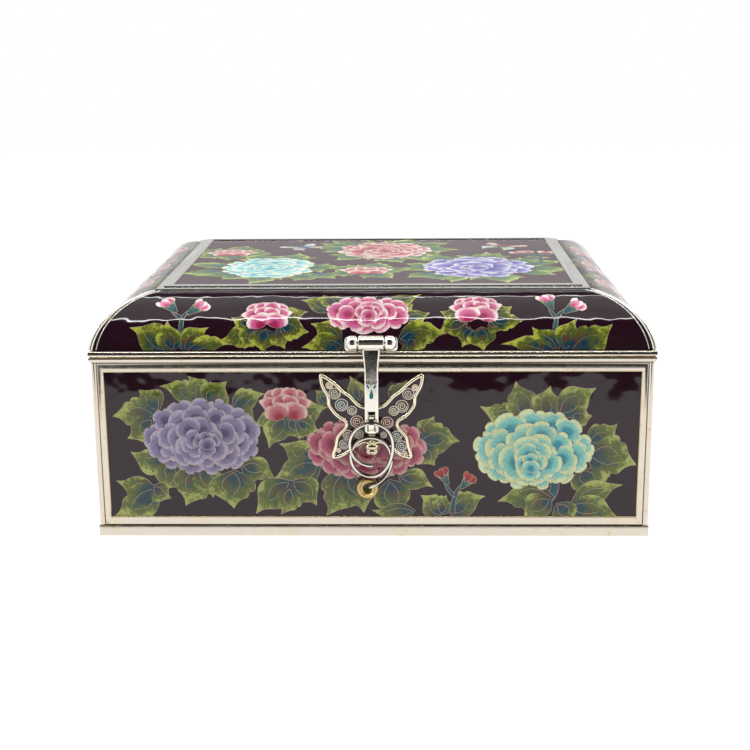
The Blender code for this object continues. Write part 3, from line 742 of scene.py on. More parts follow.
def paint_cells(mesh, picture, points, used, cells, shown):
    """Give each face its cell's colours, with the mottling beside the pale one, and each corner its
    place in the cell."""
    colours = {}
    for cell in set(cells):
        paint, *_, tint = picture.cells[cell]
        tones = [[v * tint for v in linear(code)[:3]] + [1.0] for code in PAINTS[paint]]
        tones[-1][-1] = MOTTLING.get(paint, 0.0)
        colours[cell] = tones
    for layer, name in enumerate(("deep", "middle", "pale")):
        attribute = mesh.attributes.new(name, "FLOAT_COLOR", "FACE")
        attribute.data.foreach_set("color", [v for cell in cells for v in colours[cell][layer]])
    uv = mesh.uv_layers.new(name="cell")
    flat = []
    for polygon, cell in zip(mesh.polygons, cells):
        for corner in polygon.vertices:
            if polygon.index < shown:
                flat += picture.local(cell, points[used[corner]])
            else:
                flat += (0.0, 0.0)
    uv.data.foreach_set("uv", flat)


def shade_plate(mesh, normals, shown):
    """Smooth normals on the face of the plate and flat ones on its edges and back."""
    corner_normals = []
    for polygon in mesh.polygons:
        for corner in polygon.vertices:
            corner_normals.append(normals[corner] if polygon.index < shown else polygon.normal.copy())
    mesh.normals_split_custom_set(corner_normals)


def wire_skin(path, closed, at, width):
    """The skin of one wire: two edges a hair proud of the enamel, and a third sunk in it."""
    count = len(path)
    vertices = []
    for i, point in enumerate(path):
        before = path[i - 1] if i or closed else point
        after = path[(i + 1) % count] if i < count - 1 or closed else point
        along = (after - before).normalized()
        side = right_of(along) * width / 2
        for place, out in ((point - side, WIRE_PROUD), (point + side, WIRE_PROUD), (point, -WIRE_DEPTH)):
            vertices.append(at(place.x, place.y, out))
    faces = []
    for i in range(count if closed else count - 1):
        here = 3 * i
        there = 3 * ((i + 1) % count)
        for a, b in ((0, 1), (1, 2), (2, 0)):
            faces.append((here + a, here + b, there + b, there + a))
    if not closed:
        last = 3 * (count - 1)
        faces += [(2, 1, 0), (last, last + 1, last + 2)]
    return vertices, faces


def wire_piece(name, lines, points, at, body, width, material):
    """All wires of a picture as one piece."""
    skins = []
    for line in lines:
        path = [points[i].to_2d() for i in line]
        closed = line[0] == line[-1]
        if closed:
            path.pop()
        if len(path) > 1:
            skins.append(wire_skin(path, closed, at, width))
    link_mesh(name, *joined(*skins), material, body, "silver")


# Motifs: petals, flowers, leaves, buds and stems

# Petals of these paints have a wide pale edge. The rim's place is a share of the petal's radius.
PALE_EDGED = ("coral", "aqua", "lilac", "pink", "turquoise")
PALE_EDGED_RIM = 0.9
USUAL_RIM = 1.04

# The lobes of a petal reach this far to each side of the way it faces.
LOBE_SPREAD = radians(122)
LOBE_POINTS = 7
FOOT_POINTS = 8
LOBE_WIDTHS = (0.75, 1.3)
LOBE_HEIGHTS = (0.85, 1.15)
LOBE_DEPTH = 0.26


def direction(angle):
    return Vector((cos(angle), sin(angle)))


def right_of(way):
    """The direction at a right angle to the right of this one."""
    return Vector((way.y, -way.x))


def lobed_petal(picture, paint, centre, outward, radius, lobes, depth=LOBE_DEPTH, breadth=1.0, foot=0.15):
    """A round petal whose outer edge has round lobes of uneven width. Its heart is near its foot."""
    draw = picture.random
    widths = [draw.uniform(*LOBE_WIDTHS) for _ in range(lobes)]
    side = right_of(outward)
    edge = []
    start = -LOBE_SPREAD
    for width in widths:
        wide = 2 * LOBE_SPREAD * width / sum(widths)
        height = draw.uniform(*LOBE_HEIGHTS)
        for i in range(LOBE_POINTS):
            share = i / LOBE_POINTS
            edge.append((start + wide * i / LOBE_POINTS, height * sqrt(1 - (2 * share - 1) ** 2)))
        start += wide
    edge += [(LOBE_SPREAD + (tau - 2 * LOBE_SPREAD) * i / FOOT_POINTS, 0.0) for i in range(FOOT_POINTS)]
    outline = []
    for angle, rise in edge:
        reach = radius * (1 - depth * (1 - rise))
        outline.append(centre + outward * cos(angle) * reach + side * sin(angle) * reach * breadth)
    heart = centre - outward * radius * foot
    rim = PALE_EDGED_RIM if paint in PALE_EDGED else USUAL_RIM
    picture.add(outline, paint, heart, centre + outward * radius * rim, radius * breadth)


# A pointed petal's radius as a share of its measure, and its point's length, half angle and power
POINTED_RADIUS = 0.92
POINT_LENGTH = 0.55
POINT_HALF_ANGLE = 0.7
POINT_POWER = 1.6
POINTED_STEPS = 24
POINTED_FOOT = 0.4
POINTED_RIM = 1.1


def pointed_petal(picture, paint, centre, outward, radius):
    """A round petal that ends in a point."""
    side = right_of(outward)
    outline = []
    for i in range(POINTED_STEPS):
        angle = tau * i / POINTED_STEPS
        near = max(0.0, 1 - min(angle, tau - angle) / POINT_HALF_ANGLE)
        reach = radius * (POINTED_RADIUS + POINT_LENGTH * near ** POINT_POWER)
        outline.append(centre + outward * cos(angle) * reach + side * sin(angle) * reach)
    heart = centre - outward * radius * POINTED_FOOT
    picture.add(outline, paint, heart, centre + outward * radius * POINTED_RIM, radius)


# A flower's ground, under its petals, is this share of its size.
GROUND_SHARE = 0.78
GROUND_POINTS = 32
# How much a peony's petals stray: along their ring, in size, in place and in the way they face
PETAL_STRAY = 0.28
PETAL_SIZES = (0.8, 1.2)
PLACE_STRAY = 0.5
# Petals near the middle stray more in the way they face: this less the ring's share of the way out.
FACING_STRAY = 0.9
FACING_REST = 1.3
PETAL_BREADTHS = (1.0, 1.25)


def peony(picture, paint, place, half, rings, heart=(0.0, 0.0)):
    """A full peony: rings of lobed petals, the outer ones first, and a cup in the middle."""
    place = Vector(place)
    middle = place + Vector(heart)
    ground = [place + Vector((half[0] * c, half[1] * s)) * GROUND_SHARE for c, s in around(GROUND_POINTS)]
    picture.add(ground, paint, place, place + Vector((3 * half[0], 0)))
    for ring in rings:
        petal_ring(picture, paint, place, middle, half, *ring)
    cup(picture, paint, middle, rings[-1][2])


def petal_ring(picture, paint, place, middle, half, share, count, radius, lobes):
    """A ring of petals, at this share of the way out, of which every second one lies on top."""
    draw = picture.random
    start = draw.uniform(0, tau)
    for k in list(range(0, count, 2)) + list(range(1, count, 2)):
        way = direction(start + tau * (k + draw.uniform(-PETAL_STRAY, PETAL_STRAY)) / count)
        size = radius * draw.uniform(*PETAL_SIZES)
        reach = Vector((way.x * (half[0] - size), way.y * (half[1] - size)))
        stray = Vector((draw.uniform(-1, 1), draw.uniform(-1, 1))) * radius * PLACE_STRAY * (1 - share)
        centre = middle.lerp(place, share) + reach * share + stray
        outward = Vector((way.x * half[0], way.y * half[1])).normalized()
        turn = draw.uniform(-FACING_STRAY, FACING_STRAY) * (FACING_REST - share)
        lobed_petal(picture, paint, centre, Matrix.Rotation(turn, 2) @ outward, size,
                    lobes + draw.choice((0, 0, 1)), breadth=draw.uniform(*PETAL_BREADTHS))


# The petals of a flower's cup in painter's order: place, radius, the way the rim faces in degrees,
# and lobes, as shares of the flower's last ring
CUP_PETALS = ((0.0, -0.75, 0.7, -90, 3), (-0.65, 0.1, 0.6, 150, 2), (0.65, 0.15, 0.58, 30, 2),
              (-0.05, 0.45, 0.55, 95, 2), (0.05, -0.25, 0.68, 86, 2))
CUP_BREADTH = 1.15


def cup(picture, paint, place, size):
    """The small petals that close round a flower's middle."""
    for x, y, radius, facing, lobes in CUP_PETALS:
        centre = place + Vector((x, y)) * size
        lobed_petal(picture, paint, centre, direction(radians(facing)), radius * size, lobes,
                    breadth=CUP_BREADTH)


# A half-open flower's petals in painter's order: place, radius, the way the rim faces in degrees,
# and its lobes, or none where it ends in a point
SMALL_PETALS = (
    (-0.60, 0.46, 0.36, 135, 1), (0.60, 0.46, 0.36, 45, 1), (-0.24, 0.62, 0.36, 100, 2),
    (0.20, 0.62, 0.38, 75, 2), (-0.62, 0.02, 0.42, 172, 0), (0.62, 0.05, 0.42, 14, 0),
    (-0.20, 0.24, 0.38, 105, 2), (0.22, 0.18, 0.38, 70, 2), (0.40, -0.38, 0.56, 68, 2),
    (-0.36, -0.42, 0.56, 108, 2))


SMALL_FACING_STRAY = 12
SMALL_LOBE_DEPTH = 0.2
SMALL_FOOT = 0.6
POINTED_SIZE = 1.1


def small_flower(picture, paint, place, half):
    """A half-open flower: round petals behind, pointed ones at the sides and two cups in front."""
    place = Vector(place)
    wide = half[0] / half[1]
    for x, y, radius, facing, lobes in SMALL_PETALS:
        centre = place + Vector((x * half[0], y * half[1]))
        stray = picture.random.uniform(-SMALL_FACING_STRAY, SMALL_FACING_STRAY)
        outward = direction(radians(facing + stray))
        if lobes:
            lobed_petal(picture, paint, centre, outward, radius * half[1], lobes, SMALL_LOBE_DEPTH, wide,
                        SMALL_FOOT)
        else:
            pointed_petal(picture, paint, centre, outward, radius * half[1] * POINTED_SIZE)


# A leaf's half width from its base to its tip, as shares of its length and width: smooth, or with
# a round lobe before a drawn-out tip
SMOOTH_FLANK = ((0, 0.12), (0.1, 0.55), (0.24, 0.9), (0.42, 1.04), (0.58, 0.9), (0.7, 0.56),
                (0.8, 0.28), (0.9, 0.12), (1, 0))
LOBED_FLANK = ((0, 0.12), (0.12, 0.66), (0.28, 1.0), (0.42, 1.1), (0.52, 1.02), (0.55, 0.8),
               (0.61, 0.8), (0.69, 0.72), (0.75, 0.46), (0.86, 0.2), (1, 0))
LEAF_CURLS = (0.12, 0.26)
LEAF_FOOT = -0.04
LEAF_RIM = 0.96
LEAF_SHADE_WIDTH = 0.72
VEIN_REACHES = (0.5, 0.68)
VEIN_SPREADS = (0.36, 0.5)
VEIN_START = 0.03
VEIN_BEND = 0.92 * pi
VEIN_STEPS = 10


def leaf(picture, base, tip, width, family, paint):
    """A leaf with a drawn-out, curled tip and a pair of curved veins."""
    base = Vector(base)
    along = Vector(tip) - base
    side = -right_of(along).normalized()
    draw = picture.random
    curl = draw.choice((-1, 1)) * draw.uniform(*LEAF_CURLS) * along.length

    def at(share, offset):
        return base + along * share + side * (offset * width / 2 + curl * (share ** 3 - share))

    flanks = []
    for sign in (1, -1):
        shape = draw.choice((SMOOTH_FLANK, SMOOTH_FLANK, LOBED_FLANK))
        flanks.append([at(p.x, sign * p.y) for p in smooth_line(shape, 3)])
    outline = [at(LEAF_FOOT, 0)] + flanks[0] + flanks[1][-2::-1]
    picture.add(outline, paint, base, base + along * LEAF_RIM, width * LEAF_SHADE_WIDTH, family)
    for sign in (-1, 1):
        reach = draw.uniform(*VEIN_REACHES)
        spread = draw.uniform(*VEIN_SPREADS)
        shares = [i / VEIN_STEPS for i in range(VEIN_STEPS + 1)]
        picture.line([at(VEIN_START + reach * t, sign * spread * sin(VEIN_BEND * t)) for t in shares])


def leaf_cluster(picture, lobes, paint="leaf"):
    """A lobed leaf: lobes of base, tip and width that no wire parts."""
    family = len(picture.families)
    for base, tip, width in lobes:
        leaf(picture, base, tip, width, family, paint)


def strip_outline(points, start_width, end_width):
    """The outline of a tapering strip along a line of points."""
    points = [Vector(p) for p in points]
    left, right = [], []
    for i, point in enumerate(points):
        along = (points[min(i + 1, len(points) - 1)] - points[max(i - 1, 0)]).normalized()
        width = start_width + (end_width - start_width) * i / (len(points) - 1)
        side = -right_of(along) * width / 2
        left.append(point + side)
        right.append(point - side)
    return left + right[::-1]


def bent_line(start, end, bend, steps=8):
    start, end = Vector(start), Vector(end)
    along = end - start
    side = -right_of(along)
    return [start + along * i / steps + side * bend * sin(pi * i / steps) for i in range(steps + 1)]


# A stem's shade runs this many times its length past its start.
STEM_SHADE = 1.9


def stem(picture, start, end, bend=0.1, widths=(2.0, 1.4)):
    line = bent_line(start, end, bend)
    far = Vector(start).lerp(Vector(end), STEM_SHADE)
    picture.add(strip_outline(line, *widths), "stem", start, far, widths[0] * 2)


# A bud's petal with two lobes and its cup, about the middle of the cup
HEART = ((0.0, -0.1), (-0.6, 0.35), (-1.05, 0.9), (-1.2, 1.35), (-1.02, 1.75), (-0.7, 1.74),
         (-0.42, 1.48), (-0.2, 1.76), (0.12, 1.82), (0.4, 1.5), (0.42, 0.95), (0.25, 0.4))
CALYX = ((-0.24, -1.1), (-0.4, -0.6), (-0.6, -0.1), (-0.78, 0.45), (-0.82, 0.95), (-0.5, 0.5), (-0.25, 0.1),
         (0.0, 0.3), (0.1, 0.75), (0.25, 0.25), (0.45, 0.3), (0.85, 0.75), (0.72, 0.2), (0.5, -0.3),
         (0.34, -0.7), (0.22, -1.1))
# The half petal beside it: its place, how far it leans out, its size, lobe depth and breadth
SIDE_PETAL = (0.52, 1.05)
SIDE_PETAL_LEAN = 0.45
SIDE_PETAL_SIZE = 0.78
SIDE_PETAL_DEPTH = 0.14
SIDE_PETAL_BREADTH = 0.85


def bud(picture, place, angle, size, paint="red"):
    """A bud in its green cup: a petal with two lobes and half of another beside it."""
    place = Vector(place)
    way = direction(angle)
    side = right_of(way)

    def at(x, y):
        return place + side * x * size + way * y * size

    outward = (way + side * SIDE_PETAL_LEAN).normalized()
    lobed_petal(picture, paint, at(*SIDE_PETAL), outward, size * SIDE_PETAL_SIZE, 2, SIDE_PETAL_DEPTH,
                SIDE_PETAL_BREADTH)
    heart = [at(x, y) for x, y in HEART]
    picture.add(heart, paint, at(-0.2, 0.3), at(-0.45, 1.95), size * 0.8)
    picture.add([at(x, y) for x, y in CALYX], "stem", at(0, -1.6), at(0, 1.8), size)


def twig(picture, foot, join, buds, size, paint="red"):
    """A forked stem with a bud at each end."""
    stem(picture, foot, join, 0.05, (1.9, 1.5))
    for place in buds:
        stem(picture, join, place, 0.12, (1.4, 1.0))
    for place in buds:
        away = Vector(place) - Vector(join)
        bud(picture, place, atan2(away.y, away.x), size, paint)


# The front plate's picture: its leaves as base, tip and width

FRONT_LEAVES = (
    (((-76.6, 47.3), (-83.4, 55.2), 10), ((-78.0, 45.9), (-93.3, 45.3), 11),
     ((-79.0, 44.2), (-88.4, 37.0), 10)),
    (((-60.8, 51.0), (-75.9, 56.5), 8), ((-60.1, 49.7), (-65.5, 60.2), 10)),
    (((-58.5, 49.0), (-51.6, 58.2), 11),),
    (((-49.9, 48.7), (-38.2, 53.6), 8), ((-48.9, 48.6), (-41.5, 42.8), 8)),
    (((-73.5, 26.8), (-87.4, 32.0), 10), ((-72.5, 27.8), (-76.8, 16.8), 11)),
    (((-79.7, 17.8), (-93.2, 21.0), 8), ((-78.0, 18.3), (-94.6, 7.2), 12),
     ((-79.7, 18.8), (-73.4, 14.2), 8)),
    (((-63.5, 26.0), (-68.3, 11.4), 14), ((-62.5, 26.0), (-58.0, 14.5), 10)),
    (((-50.1, 24.6), (-50.5, 10.3), 16), ((-47.3, 26.7), (-35.4, 21.6), 9)),
    (((-20.8, 26.8), (-33.5, 35.0), 10), ((-18.8, 27.7), (-38.0, 21.0), 13)),
    (((-29.9, 20.6), (-42.6, 8.2), 12), ((-29.0, 20.6), (-20.3, 11.4), 11), ((-30, 18), (-33.5, 8.0), 9)),
    (((-9.8, 24.6), (-16.9, 7.6), 14), ((-8.5, 23.5), (-3.2, 8.6), 14)),
    (((-30.8, 44.8), (-43.0, 41.4), 7), ((-31.1, 44.6), (-37.2, 33.2), 9),
     ((-29.8, 44.0), (-26.0, 36.5), 9)),
    (((-27.6, 43.8), (-15.6, 48.6), 8), ((-27.1, 43.6), (-18.9, 40.0), 8)),
    (((-16.1, 49.8), (-20.1, 54.9), 5),), (((-4.8, 51.0), (-7.8, 60.2), 6),),
    (((6.8, 51.5), (12.6, 58.6), 7),),
    (((19.2, 37.6), (22.3, 45.2), 8), ((17.7, 36.4), (31.5, 35.8), 11), ((18.4, 33.8), (22.6, 26.8), 9)),
    (((9.9, 22.2), (21.9, 18.4), 8), ((6.4, 21.0), (10.4, 6.8), 13)),
    (((15.0, 9.4), (-0.4, 9.8), 7),),
    (((24.6, 7.4), (17.4, 15.4), 9), ((24.9, 8.2), (26.9, 15.4), 7)),
    (((28.7, 8.2), (41.0, 15.0), 9),),
    (((54.3, 44.7), (38.6, 49.0), 9), ((56.4, 44.8), (51.2, 58.2), 11)),
    (((62.1, 45.1), (63.6, 56.4), 10),),
    (((66.6, 46.1), (79.9, 55.6), 11), ((71.5, 45.5), (78.6, 45.4), 8)),
    (((77.8, 35.4), (87.6, 42.4), 10), ((77.7, 30.9), (95.1, 26.9), 15), ((75.8, 25.4), (79.8, 14.4), 13)),
    (((65.3, 14.7), (45.4, 13.0), 11), ((64.6, 13.9), (54.9, 6.4), 10)),
    (((72.3, 11.5), (90.5, 19.4), 9), ((70.7, 11.3), (90.0, 5.8), 11), ((67.0, 12.0), (73.0, 4.0), 9)))
# Share of the way out, number, radius and lobes of each ring of petals
FULL_RINGS = ((1.0, 13, 4.6, 3), (0.74, 10, 4.7, 3), (0.48, 7, 4.5, 2), (0.24, 4, 4.0, 2))
WIDE_RINGS = ((1.0, 13, 5.2, 3), (0.7, 9, 5.5, 3), (0.4, 6, 5.2, 2), (0.18, 3, 4.4, 2))


def rectangle(low_u, high_u, low_v, high_v):
    return [(low_u, low_v), (high_u, low_v), (high_u, high_v), (low_u, high_v)]


def side_box(turn, node):
    """A node's half width, bottom, top and distance from the middle, as seen from its side."""
    low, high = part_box(node)
    corners = [spun(-turn) @ corner / MM for corner in (low, high)]
    return max(abs(c.x) for c in corners), low.z / MM, high.z / MM, max(-c.y for c in corners)


def side_picture(side, seed):
    """A blank picture and its surface for an upright plate."""
    turn = SIDES[side]
    half, low, high, distance = side_box(turn, side + "_enamel")
    return Picture(rectangle(-half, half, low, high), seed=seed), flat_surface(turn, distance)


def draw_front():
    picture, surface = side_picture("front", 11)
    stem(picture, (57.0, 20.0), (61.5, 15.0), 0.1, (3, 3))
    stem(picture, (66.0, 20.0), (64.0, 14.0), 0.1, (3, 3))
    for cluster in FRONT_LEAVES:
        leaf_cluster(picture, cluster)
    peony(picture, "purple", (-61.2, 37.6), (21.5, 14.4), FULL_RINGS, (1.5, -2.0))
    peony(picture, "magenta", (-2.1, 33.5), (21.9, 12.3), FULL_RINGS)
    peony(picture, "turquoise", (58.0, 32.6), (21.7, 15.3), WIDE_RINGS, (-1.0, -5.5))
    small_flower(picture, "blush", (-30.9, 49.5), (8.5, 6.7))
    twig(picture, (29.1, 8.5), (30.0, 15.0), ((26.3, 21.8), (33.7, 20.0)), 2.3)
    enamel_plate("front_enamel", picture, surface, "base", ())


# The lobes of a leaf under a flower: how far they swing, their length and their width, and how
# much those differ. Each starts a little way out, and is longer by a share of the flower's size.
LOBES = ((-0.95, 0.72, 0.75), (0.95, 0.66, 0.75), (0.0, 1.0, 1.0))
LOBE_SIZES = (0.85, 1.15)
LOBE_START = 0.5
LOBE_HIDDEN = 0.2
LEAF_STRAY = 0.2
LEAF_TURN = 0.5


def leafy(picture, place, half, count, length, width, start, paint="leaf"):
    """Lobed leaves pointing out all round an oval that a flower will cover."""
    place = Vector(place)
    draw = picture.random
    for k in range(count):
        angle = start + tau * (k + draw.uniform(-LEAF_STRAY, LEAF_STRAY)) / count
        way = direction(angle)
        base = place + Vector((way.x * half[0], way.y * half[1])) * GROUND_SHARE
        turn = angle + draw.uniform(-LEAF_TURN, LEAF_TURN)
        lobes = []
        for swing, share, broad in LOBES:
            lobe = direction(turn + swing)
            grown = length * share * draw.uniform(*LOBE_SIZES) + LOBE_HIDDEN * min(half)
            wide = width * broad * draw.uniform(*LOBE_SIZES)
            lobes.append((base + lobe * LOBE_START, base + lobe * grown, wide))
        leaf_cluster(picture, lobes, paint)


def leafy_peony(picture, paint, place, half, rings, leaves, length, width, start, leaf_paint="leaf"):
    """Draw the leaves, and return what draws the flower when all leaves are there."""
    leafy(picture, place, half, leaves, length, width, start, leaf_paint)
    return lambda: peony(picture, paint, place, half, rings)


# The front cove's leaves, measured up the curve
COVE_LEAVES = (
    (((-71.9, -0.3), (-85.9, 8.2), 11), ((-70.4, -0.3), (-72.6, 10.9), 9)),
    (((-66.3, -0.3), (-57.8, 8.2), 9), ((-66.0, -0.3), (-49.0, 1.8), 6)),
    (((-41.3, 7.0), (-53.4, 3.8), 8), ((-41.8, 9.6), (-49.8, 12.2), 6), ((-41.0, 6.9), (-44.9, 0.3), 8)),
    (((-37.4, 7.4), (-38.1, -0.9), 10), ((-33.2, 7.4), (-30.4, 0.4), 7)),
    (((-33.0, 10.3), (-22.6, 14.4), 7), ((-32.3, 9.2), (-22.0, 6.5), 8)),
    (((-14.0, 15.4), (-25.4, 20.4), 8), ((-12.5, 17.3), (-17.6, 24.0), 7)),
    (((-10.8, 2.6), (-21.4, 9.6), 9), ((-9.5, 1.2), (-24.8, 0.8), 9)),
    (((3.9, 17.9), (17.9, 24.4), 7),),
    (((9.4, 13.7), (14.8, 18.2), 5), ((11.8, 11.5), (20.8, 14.0), 6)),
    (((9.7, 3.5), (26.8, 5.7), 10), ((13.1, 3.8), (17.0, -1.2), 9)),
    (((34.1, 12.0), (24.4, 14.6), 7), ((33.7, 9.6), (24.0, 6.4), 8), ((34.7, 7.9), (31.9, 0.9), 7)),
    (((38.9, 7.9), (39.9, -0.4), 10), ((41.8, 10.2), (46.8, 6.8), 7)),
    (((43.0, 12.8), (50.1, 16.9), 6), ((42.2, 11.2), (54.0, 10.9), 7)),
    (((65.9, -0.3), (56.8, 8.2), 9), ((65.6, -0.3), (45.5, 1.8), 6)),
    (((68.3, -0.3), (72.6, 11.1), 9), ((70.3, -0.3), (85.2, 9.2), 11)))
COVE_RINGS = ((1.0, 9, 4.6, 3), (0.6, 6, 4.6, 2), (0.28, 3, 3.8, 2))


def cove_picture(side, seed):
    """A blank picture and its surface for a curved side of the lid."""
    turn = SIDES[side]
    corner = spun(-turn) @ (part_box("body_rim")[1] / MM)
    half = abs(corner.x) - RIM_PROUD
    distance = abs(corner.y) - RIM_PROUD
    rows = [COVE_LENGTH * i / COVE_STRIPS for i in range(COVE_STRIPS + 1)]
    ends = [half - cove_curve(cove_angle(v))[0] - COVE_END_TRIM for v in rows]
    outline = ([(end, v) for end, v in zip(ends, rows)]
               + [(-end, v) for end, v in reversed(list(zip(ends, rows)))])
    strips = [((-end, v), (end, v)) for end, v in zip(ends[1:-1], rows[1:-1])]
    return Picture(outline, strips, seed), cove_surface(turn, distance), rows


def draw_front_cove():
    picture, surface, rows = cove_picture("front", 31)
    twig(picture, (-66.8, 0.5), (-67.4, 11.8), ((-71.9, 17.0), (-63.2, 15.8)), 3.0, "pink")
    twig(picture, (65.0, 0.5), (65.6, 11.5), ((63.3, 18.4), (71.0, 15.8)), 3.0, "pink")
    for cluster in COVE_LEAVES:
        leaf_cluster(picture, cluster, "cove_leaf")
    peony(picture, "rose", (-1.1, 14.1), (15.4, 8.6), COVE_RINGS)
    small_flower(picture, "rose", (-37.2, 13.2), (8.2, 6.3))
    small_flower(picture, "rose", (37.2, 15.9), (8.5, 6.6))
    enamel_plate("front_cove_enamel", picture, surface, "lid", rows, material=WAVY_ENAMEL)


def draw_plain_cove(side, places, seed):
    """A plainer curved side: a small leafy flower at each place, and a twig between them."""
    picture, surface, rows = cove_picture(side, seed)
    for u in places:
        leafy(picture, (u, 17.5), (8.5, 6.5), 6, 9.0, 7.5, seed, "cove_leaf")
    for left, right in zip(places, places[1:]):
        middle = (left + right) / 2
        buds = ((middle - 4, 17.5), (middle + 6, 19.0))
        twig(picture, (middle, 1.0), (middle + 1, 10.5), buds, 3.0, "pink")
        lobes = [((middle, 1.0), (middle + reach, 6.5), 7) for reach in (-11, 12)]
        leaf_cluster(picture, lobes + [((middle, 0.5), (middle + 3, 9.0), 7)], "cove_leaf")
    for u in places:
        small_flower(picture, "rose", (u, 18.0), (9.0, 7.0))
    enamel_plate(side + "_cove_enamel", picture, surface, "lid", rows, material=EVEN_ENAMEL)


TOP_RINGS = ((1.0, 11, 6.4, 3), (0.72, 8, 6.8, 3), (0.44, 6, 6.2, 2), (0.2, 3, 5.2, 2))
# Leaves that fill the top plate between its flowers, as base, tip and width
TOP_LEAVES = (
    (((60.0, -12.0), (77.0, -4.0), 10), ((61.0, -20.0), (76.5, -22.0), 11),
     ((57.0, -28.0), (70.0, -36.0), 10)),
    (((-60.0, -14.0), (-77.0, -8.0), 10), ((-60.0, -24.0), (-76.0, -30.0), 11),
     ((-52.0, -34.0), (-58.0, -43.0), 9)),
    (((22.0, -30.0), (12.0, -40.0), 11), ((24.0, -36.0), (26.0, -46.0), 10)),
    (((-22.0, -30.0), (-14.0, -42.0), 11), ((-26.0, -36.0), (-30.0, -46.0), 10)),
    (((20.0, 38.0), (32.0, 44.0), 9), ((-14.0, 38.0), (-26.0, 44.0), 9)),
    (((46.0, 4.0), (52.0, 16.0), 9), ((60.0, 2.0), (72.0, 4.0), 9)))


# The large flowers: paint, place, half size, and their leaves' length and start in radians
TOP_FLOWERS = (("coral", (3.3, 25.0), (20.2, 22), 13.5, 0.3),
               ("aqua", (-41.6, -17.0), (19.0, 23.5), 13, 0.1),
               ("lilac", (40.6, -17.0), (22.3, 24.5), 13, 0.5))


def draw_top():
    low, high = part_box("top_enamel")
    outline = rectangle(low.x / MM, high.x / MM, low.y / MM, high.y / MM)
    # Its ground is the lighter top ground: painted light.
    picture = Picture(outline, seed=41, ground="top_ground")
    flowers = [leafy_peony(picture, paint, place, half, TOP_RINGS, 7, length, 10, start, "top_leaf")
               for paint, place, half, length, start in TOP_FLOWERS]
    for place in ((-61.0, 19.0), (-3.2, -24.9)):
        leafy(picture, place, (8.0, 9.0), 5, 11, 9, 0.2, "top_leaf")
    for cluster in TOP_LEAVES:
        leaf_cluster(picture, cluster, "top_leaf")
    twig(picture, (67, -6), (67.5, 4), ((63.0, 13.5), (70.5, 12.5)), 4.6, "coral")
    for draw_flower in flowers:
        draw_flower()
    small_flower(picture, "coral", (-61.0, 19.0), (8.3, 9.5))
    small_flower(picture, "coral", (-3.2, -24.9), (8.2, 9.5))
    butterfly(picture, (-31.5, 33.5), 0.6, 8.8, ("sky", "mallow", "lemon", "white"))
    butterfly(picture, (53.0, 33.5), -0.5, 9.6, ("coral", "sky", "white", "lemon"))
    enamel_plate("top_enamel", picture, level_surface(high.z / MM), "lid", (), material=EVEN_ENAMEL)


# A small butterfly's right wings, as shares of its reach from the middle of its body
FORE_WING = ((0.04, 0.12), (0.3, 0.52), (0.62, 0.82), (0.95, 0.86), (0.98, 0.6), (0.82, 0.34),
             (0.5, 0.08), (0.1, 0.0))
HIND_WING = ((0.06, 0.0), (0.4, 0.06), (0.72, -0.06), (0.8, -0.36), (0.62, -0.56), (0.5, -0.9),
             (0.4, -0.56), (0.2, -0.4), (0.06, -0.2))
# Each wing has a patch this much smaller than itself, and round spots at these shares of the way
# from its middle to the body.
PATCH_INSET = 0.42
SPOTS = (-0.15, 0.32)
SPOT_RADIUS = 0.09
SPOT_SIDES = 10
# The feelers' start, how far apart they end, and their bend
FEELER_START = 0.4
FEELER_SPREAD = 0.35
FEELER_BEND = 0.12
# The body's upper end, the number of its steps, and its width there and at the tail
BODY_TOP = 0.5
BODY_STEPS = 6
BODY_WIDTHS = (0.16, 0.08)


def patterned_wing(picture, outline, place, up, size, paints):
    """A butterfly's wing with a patch and two spots, shaded from the butterfly's place."""
    wing, patch, spot = paints
    middle = sum(outline, Vector((0, 0))) / len(outline)
    picture.add(outline, wing, place, place.lerp(middle, 1.8), size * 0.5)
    inner = [p.lerp(middle, PATCH_INSET) for p in outline]
    picture.add(inner, patch, middle.lerp(place, 0.4), middle.lerp(place, -0.5), size * 0.3)
    for share in SPOTS:
        centre = middle.lerp(place, share)
        ring = [centre + direction(tau * i / SPOT_SIDES) * size * SPOT_RADIUS for i in range(SPOT_SIDES)]
        picture.add(ring, spot, centre, centre + up * size * 0.12)


def butterfly(picture, place, turn, size, paints):
    """A small butterfly seen from above: two pairs of patterned wings, a body and two feelers."""
    place = Vector(place)
    right = direction(turn)
    up = direction(turn + pi / 2)
    fore, hind, patch, spot = paints
    for sign in (-1, 1):
        for wing, paint in ((HIND_WING, hind), (FORE_WING, fore)):
            outline = [place + (right * sign * x + up * y) * size for x, y in wing]
            patterned_wing(picture, outline, place, up, size, (paint, patch, spot))
        feeler_end = place + (up + right * sign * FEELER_SPREAD) * size
        picture.line(bent_line(place + up * size * FEELER_START, feeler_end, FEELER_BEND * sign))
    body = [place + up * size * (BODY_TOP - i / BODY_STEPS) for i in range(BODY_STEPS + 1)]
    outline = strip_outline(body, *(size * width for width in BODY_WIDTHS))
    picture.add(outline, "gold", place, place + up * size)


def draw_plain_side(side, flowers, small, seed):
    """A plainer upright plate: leafy peonies with small flowers between them."""
    picture, surface = side_picture(side, seed)
    peonies = [leafy_peony(picture, paint, (u, 34.5), (20, 14), rings, 9, 12, 12, seed)
               for paint, u, rings in flowers]
    for u, v in small:
        leafy(picture, (u, v), (7.5, 6.0), 5, 10, 9, seed)
    for draw_flower in peonies:
        draw_flower()
    for u, v in small:
        small_flower(picture, "blush", (u, v), (7.8, 6.3))
    enamel_plate(side + "_enamel", picture, surface, "base", ())


